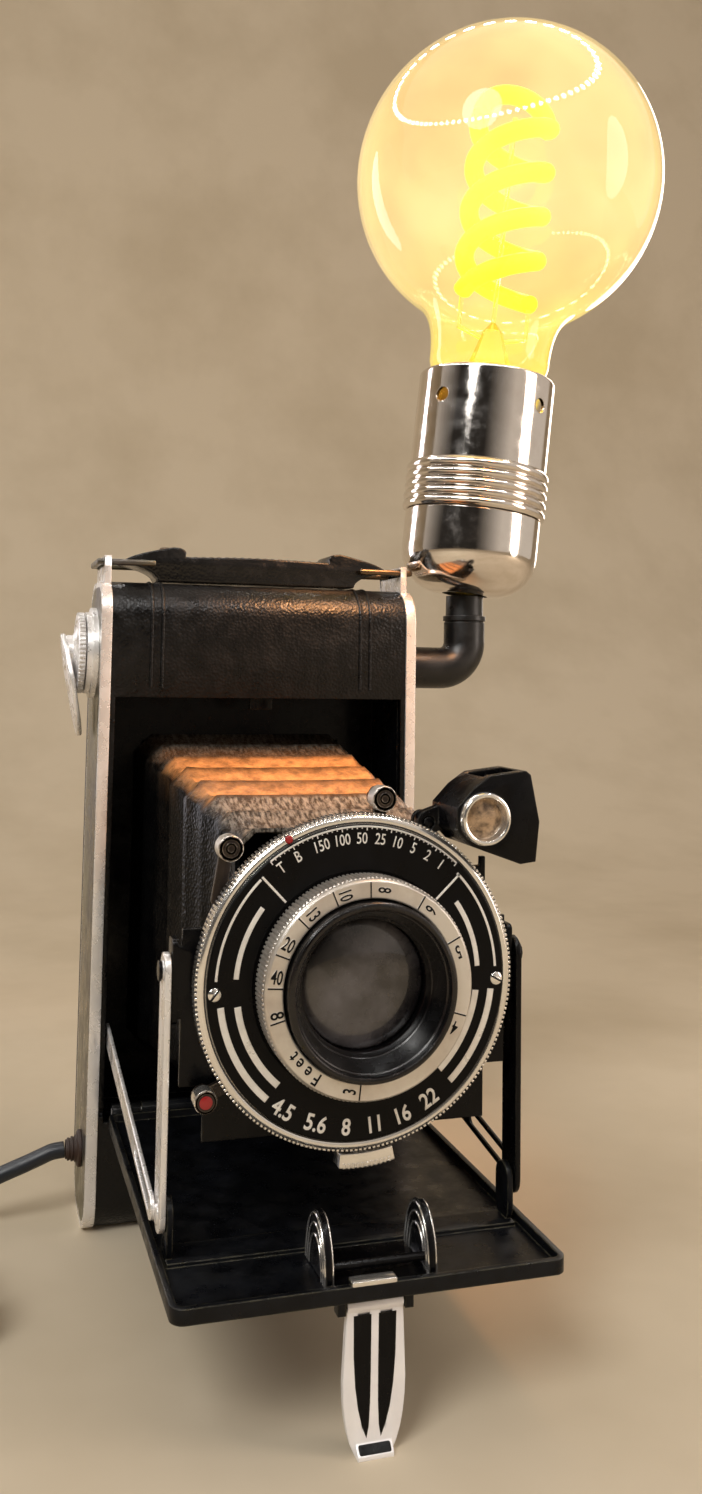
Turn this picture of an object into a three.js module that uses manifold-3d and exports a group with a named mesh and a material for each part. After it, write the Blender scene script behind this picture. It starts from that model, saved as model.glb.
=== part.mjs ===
// A folding roll-film camera turned into a table lamp: it stands on its short end with the front
// open, and a large filament bulb stands on an arm at its side, as a flash gun would.
// Millimetres. x runs across, y from the lens side to the back, z up from the table.
// The origin is on the flat of the lower end, in the middle of the body's width and depth.
import * as THREE from "three";
import { mergeVertices } from "three/addons/utils/BufferGeometryUtils.js";
import Module from "manifold-3d";

const wasm = await Module();
wasm.setup();

// Clearances and overruns
const runningGap = 0.3;
const seatGap = 0.1;
const cutOverrun = 1;
const joinOverlap = 0.2;

// Body shell, side plates and back door
const bodyWidth = 79;
const bodyHeight = 162;
const bodyDepth = 31;
const frontCornerRadius = 9;
const backCornerRadius = 7;
const shellWall = 1.4;
const plateThickness = 2.7;
const plateRim = 0.5;
const bossRadius = 12;
const bossStepRadius = 10.8;
const bossHeight = 2.8;
const lugHeight = 6.6;
const lugWidth = 1.8;
const lugDepth = 18;
const doorThickness = 2.6;
const doorGap = 0.4;
const doorHingeZ = 3.6;
const doorHingeDepth = 1.5;
const doorBarrelRadius = 1.7;
const doorPinRadius = 0.7;
const doorBarrelInset = 9.5;
const doorEarLength = 7;
const doorTopMargin = 4;
const doorCornerRadius = 4;

// Film gate box, which is also the well that the folded front lies in
const gateWall = 0.8;
const gateSideGap = 0.3;
const wellBottomZ = 25;
const wellTopGap = 1.2;
const gateFrontInset = 3.3;
const gateDepth = 2.8;
const gateSideMask = 11.5;
const gateEndMask = 10;
const strutPivotInset = 4;
const strutPivotRise = 18;

// Back fittings
const pressureSideInset = 8.5;
const pressureOverlap = 4;
const pressureThickness = 0.8;
const pressureGap = 0.5;
const springHalfWidth = 6;
const springHalfHeight = 16;
const windowRadius = 6;
const windowBelowLens = 12;
const windowLip = 0.9;
const coverHalfWidth = 9.5;
const coverHalfHeight = 10;
const coverThickness = 1;
const coverHoleRadius = 5.5;
const coverTravel = 13;
const catchHalfWidth = 7;
const catchHeight = 9;
const catchThickness = 1.6;
const catchBelowTop = 6;

// Bed, its hinge and its catch
const hingeZ = 30;
const bedHeadroom = 32;
const bedSideInset = 2.1;
const bedDrop = 2.4;
const bedSkin = 1;
const bedRimHeight = 2.8;
const bedRimWall = 1.2;
const bedCornerRadius = 2.6;
const bedRearSetback = 2.3;
const knuckleRadius = 1.9;
const hingePinRadius = 0.8;
const knuckleInset = 10.5;
const bodyKnuckleLength = 7;
const knuckleWebDepth = 0.9;
const openingSideGap = 0.9;
const openingTopGap = 2.2;
const openingBelowHinge = 2.5;
const tabLeftX = -5.2;
const tabRightX = 3.4;
const tabRise = 0.6;
const tabDepth = 2.2;
const bedCatchHalfWidth = 3;
const bedCatchThickness = 1.2;
const bedCatchBelow = 3;
const bedCatchAbove = 5;

// Guide on the bed: two curved ears with an axle between them
const guideLeftX = -9;
const guideRightX = 12;
const guideEarThickness = 1.2;
const guideRearSetback = 17;
const guideFrontSetback = 3;
const guideRise = 10;
const guideBase = 0.8;
const guideAxleRadius = 0.8;
const guideAxleSetback = 5.5;
const guideAxleRise = 1.6;

// Foot under the bed's front edge
const footHingeSetback = 3;
const footHingeDrop = 4.2;
const footHalfWidth = 5.9;
const footTopHalfWidth = 5.3;
const footTipHalfWidth = 3.4;
const footThickness = 1.4;
const footBarrelRadius = 1.2;
const footBarrelBore = 0.8;
const footPinRadius = 0.5;
const footLugLength = 1.6;
const footGrooveHalfWidth = 1.15;
const footGrooveOffset = 2.15;
const footGrooveDepth = 0.4;
const footGrooveEndZ = 4;
const footLipForward = 1.6;
const footLipHeight = 2.2;

// Self-erecting linkage
const pivotSetback = 23;
const pivotRise = 7;
const upperPivotAboveLens = 2;
const legInset = 1.9;
const legThickness = 1.2;
const legHalfWidth = 3.4;
const studRadius = 1.05;
const studHeadRadius = 2;
const studHeadHeight = 0.6;
const earThickness = 1.2;
const earHalfWidth = 3;
const bracketHalfDepth = 4;
const bracketStrip = 0.8;
const strutInset = 0.4;
const strutThickness = 0.8;
const strutHalfWidth = 2.4;
const strutReach = 79;
const strutSlotStart = 58;
const strutSlotEnd = 77.4;

// Front standard; depths are counted forward from the legs' upper pivots
const standardBack = 0.8;
const standardFront = 2;
const standardInset = 2.1;
const standardBottom = -30;
const standardNotch = -19.5;
const standardNotchInset = 4.6;
const standardShoulder = 10;
const standardTopMargin = 0.6;
const standardBore = 13.9;
const flangeBack = -3;
const flangeBelow = 10;
const flangeAbove = 6;

// Shutter and lens
const housingSideInset = 5.5;
const housingWall = 1.4;
const housingFront = 8.2;
const housingFloor = 1.2;
const coreBore = 13.6;
const coreWall = 1.2;
const speedRingBand = 2.1;
const speedRingBack = 5;
const speedRingFront = 8.6;
const speedRingTeeth = 45;
const speedRingToothDepth = 0.5;
const dialFront = 9;
const dialBack = 8.3;
const dialInner = 17.4;
const focusOuter = 20.8;
const focusInner = 16.9;
const focusBack = 9.3;
const focusFront = 16;
const bezelOuter = 16.6;
const bezelBack = 6.8;
const bezelFront = 18.5;
const bezelMouth = 15.2;
const bezelThroat = 12.1;
const bezelThroatDepth = 12.4;
const bezelLip = 0.7;
const glassRadius = 11.8;
const glassBack = 9;
const glassEdge = 10.6;
const glassCrown = 12.6;
const bladeRadius = 13.3;
const bladeBack = 5;
const bladeFront = 5.6;
const rearCellOuter = 13.3;
const rearCellBack = -3.9;
const rearCellFront = 4;
const rearGlassRadius = 10.2;
const rearGlassInset = 1.6;

// Levers round the shutter
const leverBack = 3.4;
const leverFront = 4.6;
const leverHugBand = 1.6;
const leverHugHalfAngle = 0.14;
const leverHalfWidth = 1.3;
const leverButtonFront = 8;
const cockingButtonInset = 4.4;
const cockingButtonDrop = 4.3;
const cockingHugAngle = 2.66;
const releaseButtonX = 5;
const releaseButtonMargin = 4.6;
const releaseHugAngle = 1.4;
const timerButtonInset = 0.7;
const timerButtonDrop = 9.3;
const timerHugAngle = 3.8;
const leverButtonRadius = 2.4;
const timerButtonRadius = 2.1;
const apertureAngle = -1.5;
const apertureHalfAngle = 0.16;
const apertureGripOffset = 2.8;
const apertureGripReach = 5.4;
const apertureFront = 7.4;
const apertureStemHalfWidth = 1.4;

// Reflecting finder on its bracket; its outlines are shares of its reach and crest,
// and all its places count from the lens axis
const finderPivotInset = 14.5;
const finderPivotDrop = 0.5;
const finderPivotRadius = 2.6;
const finderBack = 1;
const finderFront = 14.6;
const finderLugBack = 2.3;
const finderLugFront = 4.6;
const finderWall = 1.2;
const finderOverhang = 5.1;
const finderHeadroom = 10.4;
const finderOutlineShares = [
  [0.5014, 0.7153],
  [0.5812, 0.6436],
  [0.8832, 0.5495],
  [0.9772, 0.5594],
  [1.0000, 0.7525],
  [0.9459, 0.9802],
  [0.9174, 1.0000],
  [0.6980, 0.9752],
  [0.5983, 0.9158],
  [0.5014, 0.8267],
];
const finderRoomShares = [
  [0.5470, 0.7327],
  [0.5983, 0.6782],
  [0.9288, 0.5990],
  [0.9459, 0.7525],
  [0.9003, 0.9406],
  [0.7123, 0.9257],
];
const finderTopWindowShares = [
  [0.7009, 0.8911],
  [0.8946, 0.9158],
  [0.8946, 1.0396],
  [0.6724, 1.0396],
];
const finderRoomBack = 2.4;
const finderRoomFront = 13.4;
const finderTopBack = 4;
const finderTopFront = 12;
const finderLensInset = 6.7;
const finderLensMargin = 1.2;
const finderBore = 4.3;
const finderRingRadius = 5.2;
const finderRingFront = 16.2;
const finderGlassThickness = 0.8;
const bracketBack = -0.5;
const bracketFront = 0.7;
const bracketBarLow = 16;
const bracketBarHigh = 20;
const bracketBarLeft = 8;
const bracketPostLeft = 28.4;
const bracketPostRight = 29.6;
const bracketPostTop = 21.8;

// Bellows
const pleats = 7;
const pleatDepth = 1.8;
const bellowsWall = 1.3;
const bellowsSideInset = 9.5;
const bellowsOverlap = 1.6;
const bellowsFrontHalfWidth = 22.4;
const bellowsFrontHalfHeight = 28;
const bellowsCornerShare = 0.1;
const bellowsFrontGap = 0.4;

// Carrying strap and its rings
const strapHalfWidth = 6.2;
const strapThickness = 6.6;
const strapRise = 0.5;
const strapEndInset = 3;
const strapPadInset = 12.5;
const strapFoldInset = 19;
const strapFoldRise = 2.6;
const strapEyeInset = 10.7;
const strapEyeRadius = 1.4;
const ringWire = 1.6;
const ringHalfDepth = 8.6;
const ringOutset = 1;
const ringRise = 5;

// Winding key
const keyBelowTop = 18.6;
const keyY = -0.5;
const keyShaftRadius = 2.2;
const keyShaftReach = 6.5;
const keyDiscRadius = 10.6;
const keyDiscThickness = 1.8;
const keyHubRadius = 4.6;
const keyHubLength = 4.9;
const keyWingTop = 5.2;
const keyWingBottom = 22;
const keyWingHalfWidth = 8.4;
const keyWingThickness = 1.3;
const keyWingLean = 0.19;
const keyWingSeat = 1.1;

// Arm, lock nut and bulb holder
const armBelowTop = 21;
const armY = -6.5;
const armOutset = 18;
const armRadius = 5.75;
const armBore = 4.2;
const armBend = 7.4;
const armInnerReach = 3.5;
const armRise = 20.4;
const armNeckRadius = 5.2;
const armCollarRise = 13.4;
const armCollarHeight = 1.4;
const armCollarProud = 0.25;
const nutRadius = 7.35;
const nutThickness = 2.4;
const holderTilt = 0.105;
const holderSeatGap = 0.4;
const capNeckRadius = 6.4;
const capBottomFlat = 7.4;
const capRadius = 19.3;
const capHeight = 22.6;
const capDomeHeight = 12;
const capWall = 1;
const ribRingHeight = 13.4;
const ribRingRadius = 20.4;
const ribCount = 5;
const ribGroove = 0.6;
const sleeveRadius = 19.5;
const sleeveTop = 62.7;
const sleeveWall = 1;
const sleeveDimpleRadius = 2.1;
const sleeveDimpleBelowTop = 9;
const sleeveDimpleAngle = -1.05;
const insulatorBottom = 24;
const insulatorTop = 31;
const insulatorBore = 3.4;
const socketInner = 13.6;
const socketWall = 0.7;
const socketTop = 59;
const contactBottom = 22.8;
const contactHalfWidth = 2.6;

// Bulb; heights are along the holder's axis
const globeRadius = 44.6;
const globeCentre = 122.8;
const neckRadius = 17.2;
const neckHeight = 67;
const neckTuck = 3;
const neckFlare = 1.2;
const neckFlareRise = 9;
const globeStartAngle = 0.18;
const glassWall = 1;
const glassMouthRadius = 11.4;
const glassMouthHeight = 57;
const capTipHeight = 35.2;
const capThreadRadius = 13.1;
const capThreadDepth = 0.9;
const capThreads = 5;
const capTop = 60.4;
const capShellWall = 0.5;
const capConeHeight = 3.4;
const tipRadius = 4.6;
const tipBaseRadius = 9.6;
const stemRadius = 6.4;
const stemTop = 80;
const stemTipRadius = 3;
const filamentRadius = 10.6;
const filamentWire = 1.7;
const filamentBottom = 88;
const filamentTop = 143;
const filamentArch = 8;
const filamentTurns = 2.25;
const filamentStepsPerTurn = 16;
const filamentArchSteps = 8;
const filamentPostRadius = 0.7;

// Mains lead: gland, free stretch, coil and plug
const cordRadius = 2;
const cordClear = 0.15;
const glandZ = 17.6;
const glandY = -3.5;
const glandOutset = 3.9;
const glandReach = 15.5;
const glandRadius = 3.2;
const glandFlangeRadius = 4.4;
const glandTailRadius = 2.3;
const coilCentreX = -117.8;
const coilMeanRadius = 27.5;
const coilPitch = 4.55;
const coilLayers = 4;
const coilTurns = 8.75;
const coilStepsPerTurn = 24;
const cordFaceGap = 0.3;
const leadRoute = [
  [-49.5, -3.5, 17.3],
  [-52.5, -3.5, 16.2],
  [-56, -3.5, 14.9],
  [-62, -3.5, 12.8],
  [-69, -3.5, 10],
  [-76, -3.5, 7.3],
  [-84, -3.5, 4.8],
  [-92, -3.5, 3.1],
  [-100, -3.5, 2.3],
];
const tailRoute = [
  [0, -8, -0.1],
  [0, -16, -1.3],
  [0, -24, -3.3],
  [0, -32, -5.4],
  [0, -40, -7.2],
  [0, -47, -8.3],
];
const tailEndDrop = 8.5;
const tailReach = 56;
const plugLength = 36;
const plugHalfWidth = 17.6;
const plugRearHalfWidth = 6;
const plugShoulder = 12;
const plugHalfHeight = 6.85;
const pinRadius = 2;
const pinLength = 19;
const pinSpacing = 9.3;
const pinSeat = 0.3;
const innerLeadRadius = 0.9;
const innerLeadRoute = [
  [-16, -3, 15.6],
  [-4, 0, 13.6],
  [8, 4, 12.6],
  [20, 8.6, 13],
  [30, 11.2, 15.4],
  [35, 11.8, 22],
  [36, 11.8, 36],
  [36, 11.8, 60],
  [36, 11.8, 84],
  [36, 11.8, 108],
  [36, 11.8, 134],
  [34.6, 10.6, 140],
  [31.5, 5, 143.6],
  [29, -2, 143.4],
  [31, -6, 141.6],
];

// Facets
const arcSteps = 5;
const wideRound = 32;
const midRound = 18;
const smallRound = 10;
const hexSides = 6;
const armFacets = 14;
const tubeSides = 8;
const loopSides = 6;
const globeSteps = 9;
const cordLeadSteps = 18;
const innerLeadSteps = 38;

// Places worked out from the sizes above
const frontY = -bodyDepth / 2;
const backY = bodyDepth / 2;
const doorFrontY = backY - doorThickness;
const shellBackY = doorFrontY - doorGap;
const halfWidth = bodyWidth / 2;
const plateInnerX = halfWidth + seatGap;
const plateOuterX = plateInnerX + plateThickness;
const bedLength = bodyHeight - hingeZ - bedHeadroom;
const bedHalfWidth = halfWidth - bedSideInset;
const knuckleHalfLength = halfWidth - knuckleInset;
const gateHalfWidth = halfWidth - gateSideMask;
const pressureHalfWidth = halfWidth - pressureSideInset;
const doorBarrelHalfLength = halfWidth - doorBarrelInset;
const guideRear = bedLength - guideRearSetback;
const guideFront = bedLength - guideFrontSetback;
const guideAxleForward = bedLength - guideAxleSetback;
const footHingeForward = bedLength - footHingeSetback;
const pivotForward = bedLength - pivotSetback;
const legInnerX = bedHalfWidth - legInset;
const lensZ = hingeZ + bedLength / 2;
const housingRadius = legInnerX - housingSideInset;
const speedRingOuter = housingRadius + speedRingBand;
const leverHugOuter = housingRadius + leverHugBand;
const apertureInner = housingRadius + apertureGripOffset;
const apertureOuter = housingRadius + apertureGripReach;
const standardTopRadius = housingRadius + standardTopMargin;
const cockingButtonRise = housingRadius - cockingButtonDrop;
const releaseButtonRise = housingRadius + releaseButtonMargin;
const finderPivotX = housingRadius - finderPivotInset;
const finderPivotRise = housingRadius - finderPivotDrop;
const finderReach = housingRadius + finderOverhang;
const finderCrest = housingRadius + finderHeadroom;
const finderLensX = housingRadius - finderLensInset;
const finderLensRise = housingRadius + finderLensMargin;
const gateHalfHeight = bedLength / 2 - gateEndMask;
const pressureHalfHeight = gateHalfHeight + pressureOverlap;
const bellowsRearHalfHeight = gateHalfHeight + bellowsOverlap;
const strutPivotZ = hingeZ + strutPivotRise;
const windowZ = lensZ - windowBelowLens;
const cockingButtonX = cockingButtonInset - housingRadius;
const timerButtonX = timerButtonInset - housingRadius;
const timerButtonRise = timerButtonDrop - housingRadius;
const strutInnerX = bedHalfWidth - strutInset;
const standardHalfWidth = legInnerX - standardInset;
const standardNotchHalfWidth = standardHalfWidth - standardNotchInset;
const bellowsRearHalfWidth = halfWidth - bellowsSideInset;
const strapEndX = halfWidth - strapEndInset;
const strapPadEndX = halfWidth - strapPadInset;
const strapFoldX = halfWidth - strapFoldInset;
const strapEyeX = halfWidth - strapEyeInset;
const ringEndX = plateOuterX + ringOutset;
const ringZ = bodyHeight + ringRise;
const keyZ = bodyHeight - keyBelowTop;
const keyShaftInnerX = halfWidth - keyShaftReach;
const armZ = bodyHeight - armBelowTop;
const armX = plateOuterX + armOutset;
const armInnerX = halfWidth - armInnerReach;
const armTopZ = armZ + armRise;
const armCollarZ = armZ + armCollarRise;
const holderBaseZ = armTopZ + holderSeatGap;
const glandOuterX = plateOuterX + glandOutset;
const glandInnerX = halfWidth - glandReach;
const openingHalfWidth = bedHalfWidth + openingSideGap;
const openingTopZ = hingeZ + bedLength + openingTopGap;
const openingBottomZ = hingeZ - openingBelowHinge;
const gateBackY = shellBackY - gateDepth + gateWall;
const gateFrontY = frontY + gateFrontInset;
const gateOuterX = plateInnerX - gateSideGap;
const gateInnerX = gateOuterX - gateWall;
const wellTopZ = openingTopZ + wellTopGap;
const floorTop = hingeZ - bedDrop + bedSkin;
const pivotZ = hingeZ + pivotRise;
const legLength = lensZ + upperPivotAboveLens - pivotZ;
const upperPivotZ = pivotZ + legLength;
const pivotY = frontY - pivotForward;
const lensDrop = upperPivotZ - lensZ;
const doorAxisY = backY - doorHingeDepth;
const footAxisZ = hingeZ - footHingeDrop;
const footAxisY = frontY - footHingeForward;
const quarterTurn = Math.PI / 2;
const finderPivot = [finderPivotX, finderPivotRise];
const finderLensCentre = [finderLensX, finderLensRise];
const cockingButton = [cockingButtonX, cockingButtonRise];
const releaseButton = [releaseButtonX, releaseButtonRise];
const timerButton = [timerButtonX, timerButtonRise];
const finderPoints = (shares) => shares.map(([a, b]) => [a * finderReach, b * finderCrest]);
const finderOutline = finderPoints(finderOutlineShares);
const finderRoom = finderPoints(finderRoomShares);
const finderTopWindow = finderPoints(finderTopWindowShares);

// Exact turns: a solid drawn along z is laid along x, or towards the viewer
const zToX = new THREE.Matrix4().set(0, 0, 1, 0, 1, 0, 0, 0, 0, 1, 0, 0, 0, 0, 0, 1);
const zToFront = new THREE.Matrix4().set(1, 0, 0, 0, 0, 0, -1, 0, 0, 1, 0, 0, 0, 0, 0, 1);
const turnedToX = new THREE.Matrix4().set(0, 1, 0, 0, 0, 0, 1, 0, 1, 0, 0, 0, 0, 0, 0, 1);
const turnedToFront = new THREE.Matrix4().set(1, 0, 0, 0, 0, -1, 0, 0, 0, 0, -1, 0, 0, 0, 0, 1);

// Solids and booleans
function solidOf(geometry) {
  const bare = geometry.clone();
  bare.deleteAttribute("normal");
  bare.deleteAttribute("uv");
  const merged = mergeVertices(bare);
  return new wasm.Manifold(
    new wasm.Mesh({
      numProp: 3,
      vertProperties: merged.attributes.position.array,
      triVerts: new Uint32Array(merged.index.array),
    }),
  );
}

function geometryOf(solid) {
  const mesh = solid.getMesh();
  const geometry = new THREE.BufferGeometry();
  geometry.setAttribute("position", new THREE.BufferAttribute(mesh.vertProperties, 3));
  geometry.setIndex(new THREE.BufferAttribute(mesh.triVerts, 1));
  geometry.computeVertexNormals();
  return geometry;
}

function joined(...geometries) {
  return geometryOf(geometries.map(solidOf).reduce((whole, next) => whole.add(next)));
}

function cut(geometry, ...tools) {
  return geometryOf(tools.map(solidOf).reduce((whole, next) => whole.subtract(next), solidOf(geometry)));
}

// Outlines
function polygon(points) {
  return new THREE.Shape(points.map(([a, b]) => new THREE.Vector2(a, b)));
}

function roundedBox(left, right, bottom, top, radius) {
  const shape = new THREE.Shape();
  shape.moveTo(left + radius, bottom);
  shape.lineTo(right - radius, bottom);
  shape.absarc(right - radius, bottom + radius, radius, -quarterTurn, 0);
  shape.lineTo(right, top - radius);
  shape.absarc(right - radius, top - radius, radius, 0, quarterTurn);
  shape.lineTo(left + radius, top);
  shape.absarc(left + radius, top - radius, radius, quarterTurn, 2 * quarterTurn);
  shape.lineTo(left, bottom + radius);
  shape.absarc(left + radius, bottom + radius, radius, 2 * quarterTurn, 3 * quarterTurn);
  return shape;
}

// A bar with round ends, from one point to another
function barOutline([x1, y1], [x2, y2], radius) {
  const angle = Math.atan2(y2 - y1, x2 - x1);
  const shape = new THREE.Shape();
  shape.absarc(x1, y1, radius, angle + quarterTurn, angle + 3 * quarterTurn);
  shape.absarc(x2, y2, radius, angle - quarterTurn, angle + quarterTurn);
  return shape;
}

function sectorOutline(inner, outer, middle, halfAngle) {
  const shape = new THREE.Shape();
  shape.absarc(0, 0, outer, middle - halfAngle, middle + halfAngle);
  shape.absarc(0, 0, inner, middle + halfAngle, middle - halfAngle, true);
  return shape;
}

function extruded(shape, length) {
  return new THREE.ExtrudeGeometry(shape, {
    depth: length,
    bevelEnabled: false,
    curveSegments: arcSteps,
  });
}

// Slabs: the outline is [y, z] along x, [x, z] towards the viewer, [x, y] along z
function slabX(shape, from, to) {
  return extruded(shape, to - from).applyMatrix4(zToX).translate(from, 0, 0);
}

function slabFront(shape, from, to) {
  return extruded(shape, to - from).applyMatrix4(zToFront).translate(0, -from, 0);
}

function slabZ(shape, from, to) {
  return extruded(shape, to - from).translate(0, 0, from);
}

function block(left, right, front, back, bottom, top) {
  const geometry = new THREE.BoxGeometry(right - left, back - front, top - bottom);
  return geometry.translate((left + right) / 2, (front + back) / 2, (bottom + top) / 2);
}

// Turned pieces: a profile of [radius, height], closed on itself or on the axis
function turned(profile, segments) {
  const area = profile.reduce((sum, [r, h], i) => {
    const [r2, h2] = profile[(i + 1) % profile.length];
    return sum + r * h2 - r2 * h;
  }, 0);
  const ordered = area > 0 ? profile : [...profile].reverse();
  const onAxis = profile.some(([r]) => r === 0);
  const points = ordered.map(([r, h]) => new THREE.Vector2(r, h));
  if (!onAxis) {
    points.push(points[0].clone());
    return new THREE.LatheGeometry(points, segments);
  }
  while (points[0].x !== 0 || points[points.length - 1].x !== 0) points.push(points.shift());
  return new THREE.LatheGeometry(points, segments);
}

function turnedX(profile, segments) {
  return turned(profile, segments).applyMatrix4(turnedToX);
}

function turnedFront(profile, segments) {
  return turned(profile, segments).applyMatrix4(turnedToFront);
}

function turnedZ(profile, segments) {
  return turned(profile, segments).applyMatrix4(zToX);
}

function disc(radius, from, to) {
  return [
    [0, from],
    [radius, from],
    [radius, to],
    [0, to],
  ];
}

function tube(inner, outer, from, to) {
  return [
    [inner, from],
    [outer, from],
    [outer, to],
    [inner, to],
  ];
}

function pinX(radius, from, to, y, z) {
  return turnedX(disc(radius, from, to), smallRound).translate(0, y, z);
}

function pinFront(radius, from, to, x, z) {
  return turnedFront(disc(radius, from, to), smallRound).translate(x, 0, z);
}

function pinZ(radius, from, to, x, y) {
  return turnedZ(disc(radius, from, to), smallRound).translate(x, y, 0);
}

// A round tube of flat faces swept through points, with ends square to the path
function sweptTube(points, radius, sides, closedFormula) {
  const up = new THREE.Vector3(0, 0, 1);
  const rings = points.map((point, i) => {
    const before = points[Math.max(i - 1, 0)];
    const after = points[Math.min(i + 1, points.length - 1)];
    const along = after.clone().sub(before).normalize();
    const guide = closedFormula ? closedFormula(i) : up;
    const side = guide.clone().cross(along).normalize();
    const lift = along.clone().cross(side);
    return Array.from({ length: sides }, (unused, k) => {
      const angle = (2 * Math.PI * (k + 1 / 2)) / sides;
      return point
        .clone()
        .addScaledVector(side, radius * Math.cos(angle))
        .addScaledVector(lift, radius * Math.sin(angle));
    });
  });
  return ringSurface(rings, false);
}

// Joins rings of equal counts into a closed surface, with flat caps or as a loop of rings
function ringSurface(rings, loop) {
  const count = rings[0].length;
  const positions = rings.flat().flatMap((p) => [p.x, p.y, p.z]);
  const faces = [];
  const last = loop ? rings.length : rings.length - 1;
  for (let i = 0; i < last; i++) {
    const next = (i + 1) % rings.length;
    for (let k = 0; k < count; k++) {
      const a = i * count + k;
      const b = i * count + ((k + 1) % count);
      const c = next * count + ((k + 1) % count);
      const d = next * count + k;
      faces.push(a, b, c, a, c, d);
    }
  }
  if (!loop) {
    const start = (rings.length - 1) * count;
    for (let k = 1; k < count - 1; k++) {
      faces.push(0, k + 1, k);
      faces.push(start, start + k, start + k + 1);
    }
  }
  const geometry = new THREE.BufferGeometry();
  geometry.setAttribute("position", new THREE.Float32BufferAttribute(positions, 3));
  geometry.setIndex(faces);
  geometry.computeVertexNormals();
  return geometry;
}

// Named pieces with their own finish
const black = [0x101012, 0.45, 0.1];
const leather = [0x17161a, 0.6, 0];
const nickel = [0xc9c6bd, 0.25, 1];
const brass = [0xb08d4a, 0.35, 1];
const silver = [0xb9b7b0, 0.4, 0.9];
const clearGlass = [0xdfe6ea, 0.05, 0];
const amberGlass = [0xf0c27a, 0.05, 0];
const darkRubber = [0x1a2230, 0.7, 0];
const ceramic = [0xe6e0d2, 0.4, 0];
const redGlass = [0x8c1414, 0.1, 0];
const glow = [0xffd23c, 0.4, 0];
const brownRubber = [0x3a241a, 0.6, 0];

function piece(name, geometry, [colour, roughness, metalness]) {
  const material = new THREE.MeshStandardMaterial({ color: colour, roughness, metalness });
  const mesh = new THREE.Mesh(geometry, material);
  mesh.name = name;
  return mesh;
}

// Body shell: leather-covered sheet, open at the back and at both sides
function bodyShell() {
  const shape = new THREE.Shape();
  const rf = frontCornerRadius;
  const rb = backCornerRadius;
  const innerFront = rf - shellWall;
  const innerBack = rb - shellWall;
  shape.moveTo(shellBackY, rb);
  shape.absarc(shellBackY - rb, rb, rb, 0, -quarterTurn, true);
  shape.lineTo(frontY + rf, 0);
  shape.absarc(frontY + rf, rf, rf, -quarterTurn, -2 * quarterTurn, true);
  shape.lineTo(frontY, bodyHeight - rf);
  shape.absarc(frontY + rf, bodyHeight - rf, rf, 2 * quarterTurn, quarterTurn, true);
  shape.lineTo(shellBackY - rb, bodyHeight);
  shape.absarc(shellBackY - rb, bodyHeight - rb, rb, quarterTurn, 0, true);
  shape.lineTo(shellBackY - shellWall, bodyHeight - rb);
  shape.absarc(shellBackY - rb, bodyHeight - rb, innerBack, 0, quarterTurn);
  shape.lineTo(frontY + rf, bodyHeight - shellWall);
  shape.absarc(frontY + rf, bodyHeight - rf, innerFront, quarterTurn, 2 * quarterTurn);
  shape.lineTo(frontY + shellWall, rf);
  shape.absarc(frontY + rf, rf, innerFront, 2 * quarterTurn, 3 * quarterTurn);
  shape.lineTo(shellBackY - rb, shellWall);
  shape.absarc(shellBackY - rb, rb, innerBack, -quarterTurn, 0);
  const wrap = slabX(shape, -halfWidth, halfWidth);
  const opening = block(
    -openingHalfWidth,
    openingHalfWidth,
    frontY - cutOverrun,
    frontY + shellWall + cutOverrun,
    openingBottomZ,
    openingTopZ,
  );
  const knuckles = [-1, 1].map((side) => bodyKnuckle(side));
  const ears = [-1, 1].map((side) => doorEar(side));
  const hingeHole = pinX(hingePinRadius + runningGap, -halfWidth, halfWidth, frontY, hingeZ);
  return joined(cut(joined(cut(wrap, opening), ...knuckles, ...ears), hingeHole), doorPin());
}

// Half of the bed's hinge that stays on the body, tied to the shell below the opening
function bodyKnuckle(side) {
  const near = side * (knuckleHalfLength + runningGap);
  const far = side * (knuckleHalfLength + runningGap + bodyKnuckleLength);
  const from = Math.min(near, far);
  const to = Math.max(near, far);
  const barrel = pinX(knuckleRadius, from, to, frontY, hingeZ);
  const web = block(
    from,
    to,
    frontY + seatGap,
    frontY + seatGap + knuckleWebDepth,
    openingBottomZ - cutOverrun,
    hingeZ,
  );
  return joined(barrel, web);
}

// Ear at the lower back corner that carries the door's pin
function doorEar(side) {
  const near = side * (doorBarrelHalfLength + runningGap);
  const far = side * (doorBarrelHalfLength + runningGap + doorEarLength);
  const from = Math.min(near, far);
  const to = Math.max(near, far);
  const barrel = pinX(doorBarrelRadius, from, to, doorAxisY, doorHingeZ);
  const web = block(
    from,
    to,
    shellBackY - shellWall - doorBarrelRadius,
    doorAxisY,
    doorHingeZ - doorPinRadius,
    doorHingeZ + doorBarrelRadius,
  );
  return joined(barrel, web);
}

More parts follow.
